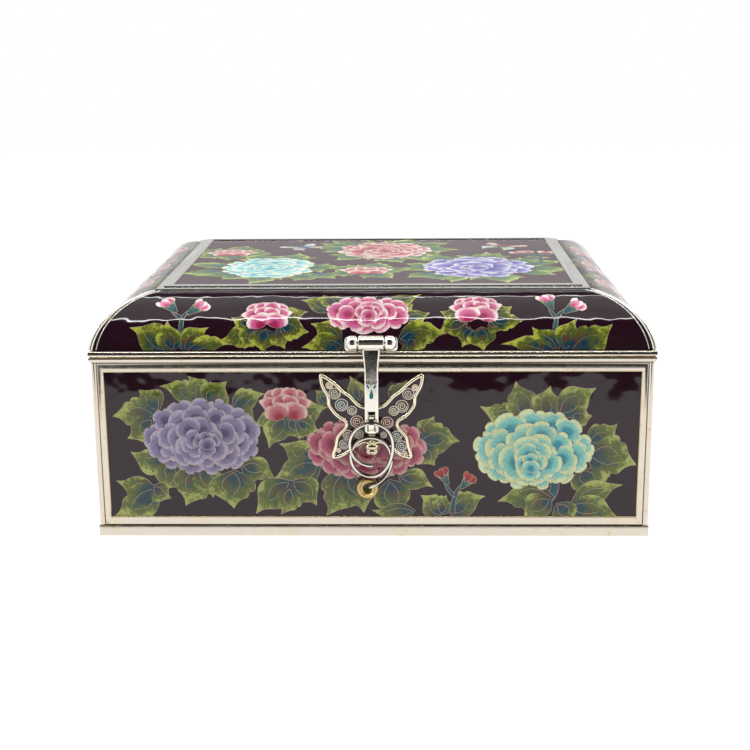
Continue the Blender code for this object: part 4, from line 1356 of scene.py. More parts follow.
def draw_other_sides():
    draw_plain_side("right", (("magenta", -38, FULL_RINGS), ("purple", 34, WIDE_RINGS)), ((-2, 38),), 51)
    draw_plain_side("left", (("turquoise", -34, WIDE_RINGS), ("magenta", 38, FULL_RINGS)), ((2, 38),), 52)
    draw_plain_side("back", (("turquoise", -60, WIDE_RINGS), ("magenta", 0, FULL_RINGS),
                             ("purple", 60, FULL_RINGS)), ((-30, 42), (30, 38)), 53)
    draw_plain_cove("right", (-40, 0, 40), 61)
    draw_plain_cove("left", (-42, 2, 40), 62)
    draw_plain_cove("back", (-58, 0, 58), 63)


# Silver

# Edges sharper than this many degrees stay sharp: in general, on the lock plate, and on wires
SHARP = 35
SHARP_ON_LOCK = 50
SHARP_ON_WIRE = 60


def smooth_piece(name, skin, body, material, sharp=SHARP, slot="silver", trim=False):
    """A smooth-shaded piece in place of the node of its own name, or of none where it is trim."""
    piece = link_mesh(name, *skin, material, body, slot, () if trim else (name,))
    piece.data.shade_smooth()
    piece.data.set_sharp_from_angle(angle=radians(sharp))


def around(count):
    """The cosine and sine of each of so many even steps round a circle."""
    return [(cos(tau * k / count), sin(tau * k / count)) for k in range(count)]


def lofted(sections, closed):
    """Vertices and faces of a skin over sections that have the same number of points."""
    count = len(sections[0])
    vertices = [point for section in sections for point in section]
    faces = []
    spans = len(sections) if closed else len(sections) - 1
    for i in range(spans):
        here = i * count
        there = (i + 1) % len(sections) * count
        for k in range(count):
            ahead = (k + 1) % count
            faces.append((here + k, there + k, there + ahead, here + ahead))
    if not closed:
        faces.append(tuple(range(count)))
        faces.append(tuple(range(len(vertices) - 1, len(vertices) - 1 - count, -1)))
    return vertices, faces


def joined(*parts):
    """Several closed skins as one list of vertices and one of faces."""
    vertices, faces = [], []
    for own_vertices, own_faces in parts:
        first = len(vertices)
        vertices += own_vertices
        faces += [tuple(first + i for i in face) for face in own_faces]
    return vertices, faces


def turned_inside_out(skin):
    vertices, faces = skin
    return vertices, [face[::-1] for face in faces]


# A frame member's section: its share of the way from the outer edge to the inner, and how far it
# stands out of the frame's flat face. It is gently domed, so its two halves catch different light.
DOME = 0.12
MEMBER_PROFILE = ([(0.0, -1.8), (0.0, -0.4), (0.03, -0.2)]
                  + [(0.08 + 0.84 * i / 10, -DOME * (i / 5 - 1) ** 2) for i in range(11)]
                  + [(0.97, -0.2), (1.0, -0.45), (1.0, -1.8)])
# The stained bead between a frame and its enamel lies this far behind the frame's face.
LINING_DEPTH = 0.3
LINING_RADIUS = 0.2
LINING_STEPS = 12
# The fine wires and engraved lines
FINE_SIDES = 8
FINE_RADIUS = 0.1


def domed_frame(side):
    """A side's silver frame with gently domed members, and the lining inside it."""
    name = side + "_frame"
    turn = SIDES[side]
    spin = spun(turn)
    half, bottom, top, distance = side_box(turn, name)
    opening, low, high, _ = side_box(turn, side + "_enamel")
    opening, low, high = opening + PANEL_CLEARANCE, low - PANEL_CLEARANCE, high + PANEL_CLEARANCE
    outer = [Vector(p) for p in rectangle(-half, half, bottom, top)]
    inner = [Vector(p) for p in rectangle(-opening, opening, low, high)]
    sections = []
    for outside, inside in zip(outer, inner):
        section = []
        for share, out in MEMBER_PROFILE:
            point = outside.lerp(inside, share)
            section.append(spin @ Vector((point.x, -distance - out, point.y)) * MM)
        sections.append(section)
    smooth_piece(name, lofted(sections, True), "base", SILVER)
    corners = [spin @ Vector((p.x, -distance + LINING_DEPTH, p.y)) for p in inner]
    line = [a.lerp(b, i / LINING_STEPS) for a, b in zip(corners, corners[1:] + corners[:1])
            for i in range(LINING_STEPS)]
    lining = tube(line, LINING_RADIUS, FINE_SIDES, True)
    smooth_piece(side + "_lining", lining, "base", STAINED_SILVER, SHARP_ON_WIRE, trim=True)


def band(name, profile, body, material=SILVER):
    """A band round the box whose section is a closed line of (outward, height) points."""
    sections = []
    for x, y in ((-1, -1), (1, -1), (1, 1), (-1, 1)):
        sections.append([Vector((x * (HALF_WIDTH + out), y * (HALF_DEPTH + out), z)) * MM
                         for out, z in profile])
    smooth_piece(name, lofted(sections, True), body, material)


# The sections of a wire's rounded ends, from its tip: how far out and how thick, as shares of its
# radius
CAP = [(sin(pi * share), cos(pi * share)) for share in (0.42, 0.3, 0.15)]


def tube(points, radius, sides=12, closed=False, ends=True):
    """Vertices and faces of a round wire along these points, with rounded ends."""
    points = [Vector(p) for p in points]
    count = len(points)
    alongs = []
    for i in range(count):
        before = points[i - 1] if i or closed else points[0]
        after = points[(i + 1) % count] if i < count - 1 or closed else points[-1]
        alongs.append((after - before).normalized())
    up = alongs[0].orthogonal().normalized()
    rings = []
    for point, along in zip(points, alongs):
        up = (up - along * up.dot(along)).normalized()
        rings.append((point, up, along.cross(up), radius))
    if ends and not closed:
        first = [(points[0] - alongs[0] * radius * out, *rings[0][1:3], radius * share)
                 for out, share in CAP]
        last = [(points[-1] + alongs[-1] * radius * out, *rings[-1][1:3], radius * share)
                for out, share in reversed(CAP)]
        rings = first + rings + last
    sections = [[(centre + (up * c + across * s) * size) * MM for c, s in around(sides)]
                for centre, up, across, size in rings]
    return lofted(sections, closed)


def turned_profile(profile, y, z, sides=32):
    """A turned skin about a line along x. Each profile point is a place along it and a radius."""
    sections = [[Vector((x, y + radius * c, z + radius * s)) * MM for c, s in around(sides)]
                for x, radius in profile]
    return lofted(sections, False)


def turned(start, end, steps, place, sides=32):
    """A turned skin along x with two like ends, as steps of how far in from the end, and a radius."""
    profile = [(start + inwards, radius) for inwards, radius in steps]
    profile += [(end - inwards, radius) for inwards, radius in reversed(steps)]
    return turned_profile(profile, *place, sides)


def dome(place, wide, deep, high, sides=20, rings=6):
    """A squashed ball that stands out towards the front from its place."""
    place = Vector(place)
    sections = []
    for i in range(1, rings * 2):
        angle = pi * i / (rings * 2) - pi / 2
        out = deep * sin(angle)
        sections.append([(place + Vector((wide * cos(angle) * c, out, high * cos(angle) * s))) * MM
                         for c, s in around(sides)])
    return lofted(sections, False)


# An inset corner moves no further than its distance over this.
LEAST_FACING = 0.4


def inset(outline, distance):
    """Move a closed anticlockwise outline inwards."""
    result = []
    for i, point in enumerate(outline):
        before = (point - outline[i - 1]).normalized()
        after = (outline[(i + 1) % len(outline)] - point).normalized()
        normal = Vector((-(before.y + after.y), before.x + after.x)).normalized()
        facing = max(LEAST_FACING, normal.dot(Vector((-after.y, after.x))))
        result.append(point + normal * distance / facing)
    return result


def spline_point(four, t):
    """The point at t, from 0 to 1, on the smooth curve from the second of four points to the third."""
    a, b, c, d = four
    return 0.5 * (2 * b + (c - a) * t + (2 * a - 5 * b + 4 * c - d) * t * t
                  + (3 * b - a - 3 * c + d) * t ** 3)


def smooth_outline(points, steps=3):
    """A closed smooth curve through the points."""
    points = [Vector(p) for p in points]
    result = []
    for i in range(len(points)):
        four = [points[(i + k) % len(points)] for k in (-1, 0, 1, 2)]
        result += [spline_point(four, step / steps) for step in range(steps)]
    return result


def smooth_line(points, steps=6):
    """An open smooth curve through the points."""
    points = [Vector(p) for p in points]
    result = []
    for i in range(len(points) - 1):
        four = [points[min(max(i + k, 0), len(points) - 1)] for k in (-1, 0, 1, 2)]
        result += [spline_point(four, step / steps) for step in range(steps)]
    return result + [points[-1]]


def filled(loops):
    """Triangles that fill the first loop, leaving out the other ones."""
    points, edges = [], []
    for loop in loops:
        first = len(points)
        points += loop
        edges += [(first + i, first + (i + 1) % len(loop)) for i in range(len(loop))]
    _, _, faces, sources, _, _ = delaunay_2d_cdt(points, edges, [], 0, CUT_TOLERANCE, True)
    cutter = Picture([(p.x, p.y) for p in loops[0]])
    for loop in loops[1:]:
        cutter.outlines.append(np.array([tuple(p) for p in loop]))
    faces = [tuple(sources[i][0] for i in face) for face in faces]
    middles = np.array([tuple((points[a] + points[b] + points[c]) / 3) for a, b, c in faces])
    return [face for face, cell in zip(faces, cutter.top_cells(middles)) if cell == 0]


def upright_plate(loops, levels):
    """A plate facing the front: levels are (inset, y) from its back to its front."""
    loops = [[Vector(p) for p in loop] for loop in loops]
    vertices = []
    for distance, y in levels:
        for loop in loops:
            vertices += [Vector((p.x, y, p.y)) * MM for p in inset(loop, distance)]
    total = sum(len(loop) for loop in loops)
    faces = []
    first = 0
    for loop in loops:
        for level in range(len(levels) - 1):
            for i in range(len(loop)):
                a = level * total + first + i
                b = level * total + first + (i + 1) % len(loop)
                faces.append((a, b, b + total, a + total))
        first += len(loop)
    fill = filled([inset(loop, 0.0) for loop in loops])
    top = (len(levels) - 1) * total
    faces += [tuple(top + i for i in face) for face in fill]
    faces += [face[::-1] for face in fill]
    return vertices, faces


def rounded_rectangle(low_x, high_x, low_z, high_z, radius, steps=5):
    outline = []
    for x, z, start in ((high_x - radius, high_z - radius, 0.0), (low_x + radius, high_z - radius, 0.5),
                        (low_x + radius, low_z + radius, 1.0), (high_x - radius, low_z + radius, 1.5)):
        for i in range(steps + 1):
            angle = pi * (start + 0.5 * i / steps)
            outline.append(Vector((x + radius * cos(angle), z + radius * sin(angle))))
    return outline


# The hasp turns about a line at this y and height. Its barrel ends with these steps: how far in
# from the end, and the radius.
HASP_PIN = (-83.7, 72.9)
BARREL_HALF = 4.5
BARREL_STEPS = ((0, 0.4), (0, 2.35), (0.25, 2.6))
# The strap's right edge from the top down, its slot, and its levels from the back to the front
STRAP_BACK = -82.6
STRAP_FRONT = -83.8
STRAP_EDGE = ((3.0, 71.3), (3.0, 69.0), (2.75, 66.5), (2.5, 63.5), (2.45, 60.0), (2.45, 50.0), (2.45, 40.6),
              (2.1, 39.8), (1.25, 39.3))
SLOT = ((-1.15, 41.0), (-1.15, 47.4), (1.15, 47.4), (1.15, 41.0))
STRAP_LEVELS = ((0.2, STRAP_BACK), (0.0, STRAP_BACK - 0.2), (0.0, STRAP_FRONT + 0.45),
                (0.12, STRAP_FRONT + 0.3), (0.5, STRAP_FRONT))
# The drops on the strap, anticlockwise: one tall and two small leaning ones above it
STRAP_DROPS = (((0.0, 52.5), (0.62, 52.8), (0.82, 53.6), (0.5, 54.8), (0.0, 56.2), (-0.5, 54.8),
                (-0.82, 53.6), (-0.62, 52.8)),
               ((0.62, 56.5), (1.1, 56.2), (1.7, 56.8), (1.92, 57.8), (1.15, 57.6), (0.7, 57.1)),
               ((-0.62, 56.5), (-0.7, 57.1), (-1.15, 57.6), (-1.92, 57.8), (-1.7, 56.8), (-1.1, 56.2)))
DROP_LEVELS = ((0.02, STRAP_FRONT + 0.1), (0.02, STRAP_FRONT - 0.04), (0.12, STRAP_FRONT - 0.09))
DROP_RIM_Y = STRAP_FRONT - 0.02
# The engraved scallops as x, height and radius, each with a smaller one in it, and the line that
# they hang from
SCALLOPS = ((-1.35, 58.75, 0.62), (0.0, 58.55, 0.68), (1.35, 58.75, 0.62))
SCALLOP_SIZES = (1.0, 0.55)
ENGRAVED_Y = STRAP_FRONT + 0.02
ENGRAVED_LINE_HALF = 2.0
ENGRAVED_LINE_HEIGHT = 59.0
ENGRAVED_LINE_RADIUS = 0.08


def drop_outlines():
    return [smooth_outline(drop, 2) for drop in STRAP_DROPS]


def make_hasp():
    """The strap with its bevels, its barrel and the rims of its three drops."""
    right = [Vector(p) for p in STRAP_EDGE]
    outline = [Vector((-p.x, p.y)) for p in right] + right[::-1]
    parts = [upright_plate([outline, SLOT], STRAP_LEVELS)]
    for drop in drop_outlines():
        parts.append(tube([(p.x, DROP_RIM_Y, p.y) for p in drop], FINE_RADIUS, FINE_SIDES, True))
    parts.append(turned(-BARREL_HALF, BARREL_HALF, BARREL_STEPS, HASP_PIN))
    smooth_piece("hasp", joined(*parts), "hasp", POLISHED_SILVER)


def make_strap_drops():
    """The enamel in the strap's three drops, a little domed."""
    drops = joined(*(upright_plate([drop], DROP_LEVELS) for drop in drop_outlines()))
    smooth_piece("strap_drops", drops, "hasp", TEAL, slot="enamel", trim=True)


def make_strap_engraving():
    """The dark engraved scallops across the strap."""
    steps = 10
    parts = []
    for x, z, radius in SCALLOPS:
        for size in SCALLOP_SIZES:
            arc = [(x + size * radius * cos(pi + pi * i / steps), ENGRAVED_Y,
                    z + size * radius * sin(pi + pi * i / steps)) for i in range(steps + 1)]
            parts.append(tube(arc, FINE_RADIUS, FINE_SIDES))
    line = [(-ENGRAVED_LINE_HALF + 2 * ENGRAVED_LINE_HALF / steps * i, ENGRAVED_Y, ENGRAVED_LINE_HEIGHT)
            for i in range(steps + 1)]
    parts.append(tube(line, ENGRAVED_LINE_RADIUS, FINE_SIDES))
    smooth_piece("strap_engraving", joined(*parts), "hasp", DARK_SILVER, trim=True)


# The fixed knuckles beside the barrel: rounded beads, each with a small foot behind it
LUG_START = BARREL_HALF + 0.3
LUG_END = 8.4
LUG_END_RADIUS = 0.4
LUG_BASE_RADIUS = 1.75
LUG_BULGE = 0.93
LUG_ROUNDNESS = 0.92
LUG_STEPS = 12
FOOT_END = 9.4
FOOT_RISE = 1.7
FOOT_CORNER = 1.1
FOOT_LEVELS = ((0, -81.2), (0, -82.1), (0.12, -82.35), (0.4, -82.5))
HASP_PIN_HALF = 8.7
HASP_PIN_STEPS = ((0, 0.5), (0.1, 0.95), (0.4, 1.1))
ROUND_SIDES = 24


def lug_bead(sign):
    middle = (LUG_START + LUG_END) / 2
    profile = [(LUG_START, LUG_END_RADIUS)]
    for i in range(LUG_STEPS + 1):
        share = 1 - 2 * i / LUG_STEPS
        radius = LUG_BASE_RADIUS + LUG_BULGE * sqrt(1 - LUG_ROUNDNESS * share ** 2)
        profile.append((middle - (LUG_END - middle) * share, radius))
    profile.append((LUG_END, LUG_END_RADIUS))
    if sign < 0:
        profile = [(-x, radius) for x, radius in reversed(profile)]
    return turned_profile(profile, *HASP_PIN)


def make_lugs():
    """The two fixed knuckles and the hasp's pin."""
    for side, sign in (("left", -1), ("right", 1)):
        name = f"hasp_lug_{side}"
        bottom = (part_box(name)[0] / MM).z
        low, high = sorted((sign * LUG_START, sign * FOOT_END))
        foot = rounded_rectangle(low, high, bottom, HASP_PIN[1] + FOOT_RISE, FOOT_CORNER)
        skin = joined(lug_bead(sign), upright_plate([foot], FOOT_LEVELS))
        smooth_piece(name, skin, "lid", POLISHED_SILVER)
    pin = turned(-HASP_PIN_HALF, HASP_PIN_HALF, HASP_PIN_STEPS, HASP_PIN, ROUND_SIDES)
    smooth_piece("hasp_pin", pin, "lid", POLISHED_SILVER)


# The lid's hinges, drawn as if they were at the front and then turned round to the back: the y
# and the height of their axis, and the steps of a knuckle and of a pin from each end
HINGE_AXIS = (-84.0, 66.6)
KNUCKLE_STEPS = ((0, 0.8), (0, 1.25), (0.1, 1.42), (0.28, 1.5))
KNUCKLE_GAP = 0.1
WEB_INSET = 0.15
HINGE_PIN_STEPS = ((-0.42, 0.3), (-0.32, 0.62), (-0.1, 0.7))
HINGE_PIN_SIDES = 20
LEAF_TOP = 64.95
LEAF_CORNER = 1.3
LEAF_LEVELS = ((0, -81.05), (0, -81.8), (0.1, -82.0), (0.3, -82.1))
RIVET_Y = -82.1
RIVET_SIZE = (0.85, 0.4, 0.85)
RIVET_LOWERING = 0.6
# Sections of the sheet that runs from the body's leaf, and from the lid's flange, to the knuckles
BODY_WEB = ((-81.65, 63.4), (-82.4, 63.4), (-83.2, 63.9), (-84.3, 64.9), (-85.1, 65.9), (-84.9, 66.5),
            (-82.2, 66.5), (-81.65, 65.4))
LID_WEB = ((-81.5, 67.5), (-84.0, 66.9), (-84.9, 67.1), (-84.6, 67.9), (-83.6, 68.6), (-82.6, 69.2),
           (-81.5, 69.3))


def knuckle(start, end, section):
    """A knuckle and the sheet that holds it."""
    sheet = [[Vector((x, y, z)) * MM for y, z in section] for x in (start + WEB_INSET, end - WEB_INSET)]
    return turned(start, end, KNUCKLE_STEPS, HINGE_AXIS, ROUND_SIDES), lofted(sheet, False)


def turned_round(skin):
    """The same skin, turned half round from the front to the back."""
    vertices, faces = skin
    return [Vector((-v.x, -v.y, v.z)) for v in vertices], faces


def make_lid_hinge(side):
    name = f"body_hinge_{side}"
    low, high = (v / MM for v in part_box(name))
    start, end = -high.x, -low.x
    third = (end - start) / 3
    leaf = rounded_rectangle(start, end, low.z, LEAF_TOP, LEAF_CORNER)
    parts = [upright_plate([leaf], LEAF_LEVELS)]
    parts += knuckle(start, start + third - KNUCKLE_GAP, BODY_WEB)
    parts += knuckle(end - third + KNUCKLE_GAP, end, BODY_WEB)
    rivet_height = (low.z + LEAF_TOP) / 2 - RIVET_LOWERING
    for i in range(3):
        parts.append(dome((start + third * (0.5 + i), RIVET_Y, rivet_height), *RIVET_SIZE))
    smooth_piece(name, turned_round(joined(*parts)), "base", SILVER)
    centre = (start + end) / 2
    parts = knuckle(centre - third / 2 + KNUCKLE_GAP, centre + third / 2 - KNUCKLE_GAP, LID_WEB)
    smooth_piece(f"lid_hinge_{side}", turned_round(joined(*parts)), "lid", SILVER)
    pin = turned(start, end, HINGE_PIN_STEPS, HINGE_AXIS, HINGE_PIN_SIDES)
    smooth_piece(f"hinge_pin_{side}", turned_round(pin), "base", SILVER)


# The wire ring goes from the bottom, up the left and over the top, and steps down and back behind
# its first turn between these turns.
EYE_Y = -85.5
EYE_HEIGHT = 44.0
RING_WIRE_RADIUS = 0.7
RING_FRONT_RADIUS = 7.85
RING_BACK_RADIUS = 7.2
RING_TURNS = 1.75
RING_STEPS = 130
RING_SIDES = 16
RING_BACK_DROP = 5.1
RING_BACK_SHIFT = 0.4
RING_LOWERING = (0.62, 0.98)
RING_STEP_BACK = (0.85, 1.1)
RING_STEP_DEPTH = 1.75
# The wire's loose end: x, how far behind the eye, and height
RING_TAIL = ((7.0, 1.75, 29.0), (6.3, 1.7, 26.4), (5.1, 1.4, 24.2), (3.3, 0.8, 22.4),
             (1.3, 0.25, 21.1), (-0.3, 0.4, 20.2), (-1.2, 1.2, 19.8), (-1.5, 2.0, 19.6))
# The small stepped ring: its place and its section as radius and how far towards the front
GILT_RING_PLACE = Vector((-1.7, -83.3, 19.15))
GILT_RING_SIDES = 64
GILT_RING_PROFILE = ((3.85, 0.2), (3.85, -0.4), (3.7, -0.68), (3.45, -0.75), (2.1, -0.75), (1.8, -0.6),
                     (1.8, 0.3), (2.0, 0.42), (2.5, 0.42), (2.65, 0.55), (2.8, 0.75), (3.4, 0.75),
                     (3.7, 0.6))


def ease(value, start, end):
    share = min(1.0, max(0.0, (value - start) / (end - start)))
    return share * share * (3 - 2 * share)


def ring_point(turn):
    """A point on the wire ring after this part of a turn."""
    angle = tau * turn
    lowered = ease(turn, *RING_LOWERING)
    radius = RING_FRONT_RADIUS + (RING_BACK_RADIUS - RING_FRONT_RADIUS) * lowered
    centre = EYE_HEIGHT - RING_FRONT_RADIUS - RING_BACK_DROP * lowered
    y = EYE_Y + RING_STEP_DEPTH * ease(turn, *RING_STEP_BACK)
    return Vector((-radius * sin(angle) - RING_BACK_SHIFT * lowered, y, centre - radius * cos(angle)))


def make_wire_ring():
    points = [ring_point(RING_TURNS * i / RING_STEPS) for i in range(RING_STEPS + 1)]
    tail = smooth_line([points[-1]] + [(x, EYE_Y + behind, z) for x, behind, z in RING_TAIL])
    wire = tube(points + tail[1:], RING_WIRE_RADIUS, RING_SIDES)
    smooth_piece("spiral_ring", wire, "hasp", RING_SILVER, SHARP_ON_WIRE)


def make_gilt_ring():
    sections = [[(GILT_RING_PLACE + Vector((r * c, -out, r * s))) * MM for r, out in GILT_RING_PROFILE]
                for c, s in around(GILT_RING_SIDES)]
    smooth_piece("gold_ring", turned_inside_out(lofted(sections, True)), "hasp", GILT, slot="gold")


# The butterfly lock plate: the right wing's edge from the middle of its top to its tail
WING_EDGE = (
    (0.0, 49.0), (3.4, 49.7), (5.1, 50.9), (7.3, 53.4), (9.9, 55.3), (12.1, 57.6), (15.2, 60.0),
    (18.6, 61.3), (18.2, 56.6), (16.2, 52.7), (15.9, 49.5), (13.9, 46.4), (12.1, 44.7), (9.8, 43.1),
    (10.3, 41.0), (12.8, 38.2), (13.5, 34.8), (14.6, 31.3), (14.1, 29.5), (11.4, 30.0), (9.3, 31.0),
    (6.0, 33.4), (2.6, 35.4))
TAIL_KNOB = ((0.0, 31.0), (1.6, 31.2), (2.2, 32.2), (1.9, 33.4), (1.2, 34.1))
PLATE_FLOOR = -81.35
LOCK_PLATE_LEVELS = ((0.15, -80.8), (0.1, PLATE_FLOOR), (0.4, PLATE_FLOOR - 0.05))
RIM_CENTRE_INSET = 0.72
RIM_CENTRE_Y = -81.3
RIM_RADIUS = 0.7
# The cast knobs under the middle of the plate: height, half width and half height
KNOBS = ((34.0, 2.5, 1.1), (32.3, 2.1, 0.95), (35.8, 1.2, 0.9), (37.5, 1.9, 0.7))
KNOB_DEPTH = 1.0
# The enamelled wings end inside the rim and beside the strap.
WING_FACE = -81.75
WING_INSET = 1.1
WING_MIDDLE = 0.5
WING_THICKNESS = 0.35
DISC_WIRE_WIDTH = 0.18
WING_SEED = 71
# Discs on the wings: place, radius and paint
DISCS_LEFT = ((-15.0, 57.0, 1.2, "gold"), (-13.1, 54.0, 2.0, "moss"), (-10.7, 49.8, 2.2, "mist"),
              (-7.0, 47.7, 1.6, "heather"), (-5.3, 43.6, 2.2, "salmon"), (-8.6, 38.7, 1.7, "tan"),
              (-4.7, 38.9, 1.6, "tan"), (-10.0, 35.1, 1.7, "heather"), (-12.0, 32.9, 0.8, "red"))
DISCS_RIGHT = ((15.5, 56.1, 1.1, "gold"), (13.1, 53.8, 2.0, "heather"), (10.8, 49.3, 2.2, "tan"),
               (7.9, 47.6, 1.7, "moss"), (5.5, 43.2, 2.1, "salmon"), (4.2, 38.6, 1.1, "moss"),
               (8.9, 38.2, 1.9, "mist"), (10.6, 34.5, 1.9, "mist"), (11.7, 31.7, 0.9, "red"))
# Each disc has a spiral that starts at, and grows by, these shares of its radius.
SPIRAL_TURNS = 2.0
SPIRAL_STEPS = 36
SPIRAL_START = 0.12
SPIRAL_GROWTH = 0.68
DISC_SIDES = 28


def wing_outline(sign):
    """One wing inside the rim, up to the strap that covers the middle."""
    left = [(-x, z) for x, z in WING_EDGE[1:]]
    inner = inset(smooth_outline(list(reversed(WING_EDGE)) + left), WING_INSET)
    edge = [p for p in inner if p.x > WING_MIDDLE]
    outline = edge + [Vector((WING_MIDDLE, edge[-1].y)), Vector((WING_MIDDLE, edge[0].y))]
    if sign > 0:
        return outline
    return [Vector((-p.x, p.y)) for p in reversed(outline)]


def disc(picture, x, z, radius, paint):
    """A round cell with a spiral of wire in it."""
    place = Vector((x, z))
    outline = [place + Vector(way) * radius for way in around(DISC_SIDES)]
    picture.add(outline, paint, place, place + Vector((0, radius)))
    picture.line([place + direction(tau * SPIRAL_TURNS * i / SPIRAL_STEPS) * radius
                  * (SPIRAL_START + SPIRAL_GROWTH * i / SPIRAL_STEPS) for i in range(SPIRAL_STEPS + 1)])


def make_lock_plate():
    right = list(TAIL_KNOB) + list(reversed(WING_EDGE[1:]))
    outline = smooth_outline(right + [WING_EDGE[0]] + [(-x, z) for x, z in reversed(right[1:])])
    parts = [upright_plate([outline], LOCK_PLATE_LEVELS)]
    rim = [(p.x, RIM_CENTRE_Y, p.y) for p in inset(outline, RIM_CENTRE_INSET)]
    parts.append(tube(rim, RIM_RADIUS, closed=True))
    for height, wide, high in KNOBS:
        parts.append(dome((0.0, PLATE_FLOOR, height), wide, KNOB_DEPTH, high))
    smooth_piece("butterfly_plate", joined(*parts), "base", CREAM_SILVER, SHARP_ON_LOCK)


def make_wing_enamels():
    for side, sign, discs in (("left", -1, DISCS_LEFT), ("right", 1, DISCS_RIGHT)):
        picture = Picture([tuple(p) for p in wing_outline(sign)], seed=WING_SEED)
        for place in discs:
            disc(picture, *place)
        enamel_plate(f"wing_enamel_{side}", picture, flat_surface(0, -WING_FACE), "base", (), "wing_enamel",
                     WING_THICKNESS, wire_width=DISC_WIRE_WIDTH, wire_material=SPIRAL_SILVER)


# The bands along the lid's mitres: a thick wire on the edge that sinks in towards the top, and
# beside it on each face a dark channel and a thin bead. The channel is a dark strip: painted shade
# that stands for the shadow in the groove there.
MITRE_STEPS = 36
MITRE_START = COVE_START + 0.19 / COVE_RADIUS
MITRE_WIRE_RADIUS = 0.85
MITRE_WIRE_SINK = 0.6
# The channel's section: how far from the mitre, and how far out of the curve
CHANNEL = ((0.5, -0.6), (2.15, -0.6), (2.15, 0.08), (0.5, 0.08))
BEAD_OFFSET = 2.1
BEAD_PROUD = 0.06
BEAD_RADIUS = 0.2
BEAD_SIDES = 10
POST_RADIUS = 1.0
POST_STEPS = 8


def mitre_line(x_sign, y_sign, along_x=0.0, along_y=0.0, out=0.0, sink=0.0):
    """A line up a mitre, so far from it along each face and out of the curve, and sunk at its top."""
    line = []
    for i in range(MITRE_STEPS + 1):
        share = i / MITRE_STEPS
        angle = MITRE_START + (COVE_END - MITRE_START) * i / MITRE_STEPS
        inward, height = cove_curve(angle, out - sink * share ** 2)
        line.append(Vector((x_sign * (HALF_WIDTH - inward - along_x),
                            y_sign * (HALF_DEPTH - inward - along_y), height)))
    return line


def mitre_band(x_sign, y_sign):
    """The bright skins of the band along one mitre, and the dark strips beside it, painted as the shade of
    its grooves.
    """
    bright = [tube(mitre_line(x_sign, y_sign, sink=MITRE_WIRE_SINK), MITRE_WIRE_RADIUS, ROUND_SIDES,
                   ends=False)]
    dark = []
    for share_x, share_y in ((1, 0), (0, 1)):
        bead = mitre_line(x_sign, y_sign, BEAD_OFFSET * share_x, BEAD_OFFSET * share_y, BEAD_PROUD)
        bright.append(tube(bead, BEAD_RADIUS, BEAD_SIDES, ends=False))
        corners = [mitre_line(x_sign, y_sign, reach * share_x, reach * share_y, out)
                   for reach, out in CHANNEL]
        skin = lofted([[point * MM for point in section] for section in zip(*corners)], False)
        if x_sign * y_sign * (share_x - share_y) < 0:
            skin = turned_inside_out(skin)
        dark.append(skin)
    return joined(*bright), joined(*dark)


def make_corners():
    """The raised bands along the mitres of the lid, and the posts up the corners of the body."""
    for depth, y_sign in (("front", -1), ("back", 1)):
        for side, x_sign in (("left", -1), ("right", 1)):
            corner = f"{depth}_{side}"
            bright, dark = mitre_band(x_sign, y_sign)
            smooth_piece(f"corner_wire_{corner}", bright, "lid", BRIGHT_SILVER, SHARP_ON_WIRE)
            # The dark strip beside each mitre: painted shade of the groove.
            smooth_piece(f"corner_channel_{corner}", dark, "lid", DARK_SILVER, trim=True)
            name = f"corner_post_{corner}"
            x, y = x_sign * (HALF_WIDTH - POST_RADIUS), y_sign * (HALF_DEPTH - POST_RADIUS)
            low, high = (v.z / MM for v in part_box(name))
            line = [(x, y, low + (high - low) * i / POST_STEPS) for i in range(POST_STEPS + 1)]
            post = tube(line, POST_RADIUS, ROUND_SIDES, ends=False)
            smooth_piece(name, post, "base", SILVER, SHARP_ON_WIRE)


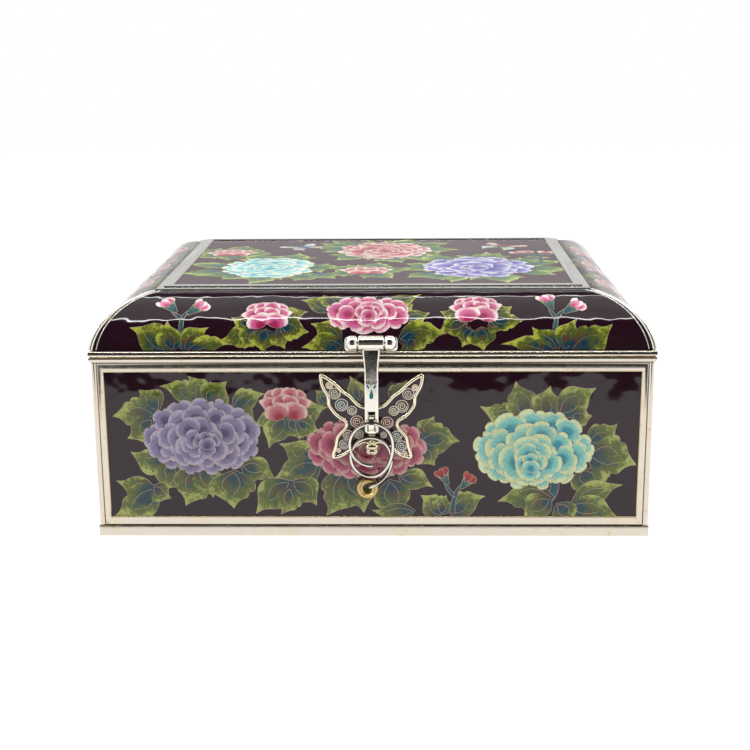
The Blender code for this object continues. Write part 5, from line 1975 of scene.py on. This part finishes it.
# Sections of the bands round the box: how far out of its face and how high above the table, from
# the inner bottom edge over the top to the outer bottom edge
RIM_PROFILE = ((-3.3, 65.02), (-3.3, 67.0), (0.35, 67.0), (0.52, 66.93), (0.6, 66.78), (0.6, 66.35),
               (0.54, 66.15), (0.1, 65.42), (-0.1, 65.25), (-0.35, 65.02))
FLANGE_PROFILE = ((-3.9, 67.02), (-3.9, 69.4), (0.0, 69.4), (0.08, 69.37), (0.5, 69.04), (0.56, 68.96),
                  (0.6, 68.84), (0.7, 68.1), (0.68, 67.9), (0.56, 67.72), (0.2, 67.3), (-0.1, 67.02))
FOOT_PROFILE = ((-1.8, 0.0), (-1.8, 3.9), (0.02, 3.9), (0.14, 3.84), (0.2, 3.72), (0.2, 0.1), (0.12, 0.0))
# The same for the frame round the lid's top: how far in from its outer edge, and how far above its
# top. It has two flat steps, and a narrow slope at its foot.
TOP_FRAME_PROFILE = ((5.6, -1.95), (5.6, -0.2), (5.5, -0.04), (5.35, 0.0), (3.0, -0.09), (2.82, -0.14),
                     (2.72, -0.28), (2.68, -0.62), (2.6, -0.68), (0.22, -0.76), (0.1, -0.8), (0.04, -0.9),
                     (0.02, -1.5), (-0.02, -1.53), (-0.42, -1.86), (-0.42, -1.95), (0.04, -1.95))


def make_bands():
    band("foot_band", FOOT_PROFILE, "base")
    band("body_rim", RIM_PROFILE, "base")
    band("lid_flange", FLANGE_PROFILE, "lid")
    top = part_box("top_frame")[1].z / MM
    profile = [(-TOP_FRAME_INSET - inwards, top + height) for inwards, height in TOP_FRAME_PROFILE]
    band("top_frame", profile, "lid", BRIGHT_SILVER)


def make_silver():
    make_hasp()
    make_strap_drops()
    make_strap_engraving()
    make_lugs()
    make_wire_ring()
    make_gilt_ring()
    for side in ("left", "right"):
        make_lid_hinge(side)
    make_lock_plate()
    make_wing_enamels()
    make_corners()
    for side in SIDES:
        domed_frame(side)
    make_bands()


# The nodes that keep their modelled shape
KEPT_NODES = {"inner_box": SATIN_SILVER, "bottom_plate": SATIN_SILVER, "lid_shell": SATIN_SILVER,
              "ring_eye": POLISHED_SILVER}


def dress_nodes():
    for name, material in KEPT_NODES.items():
        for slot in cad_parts[name].material_slots:
            slot.material = material


add_camera()
add_world()
add_floor()
add_soft_light("key_light", (-0.6, -0.9, 1.3), 0.9, 14)
add_soft_light("fill_light", (0.9, -0.5, 1.0), 0.8, 7)
bpy.context.scene.view_settings.view_transform = "Standard"
dress_nodes()
draw_front()
draw_front_cove()
draw_top()
draw_other_sides()
make_silver()
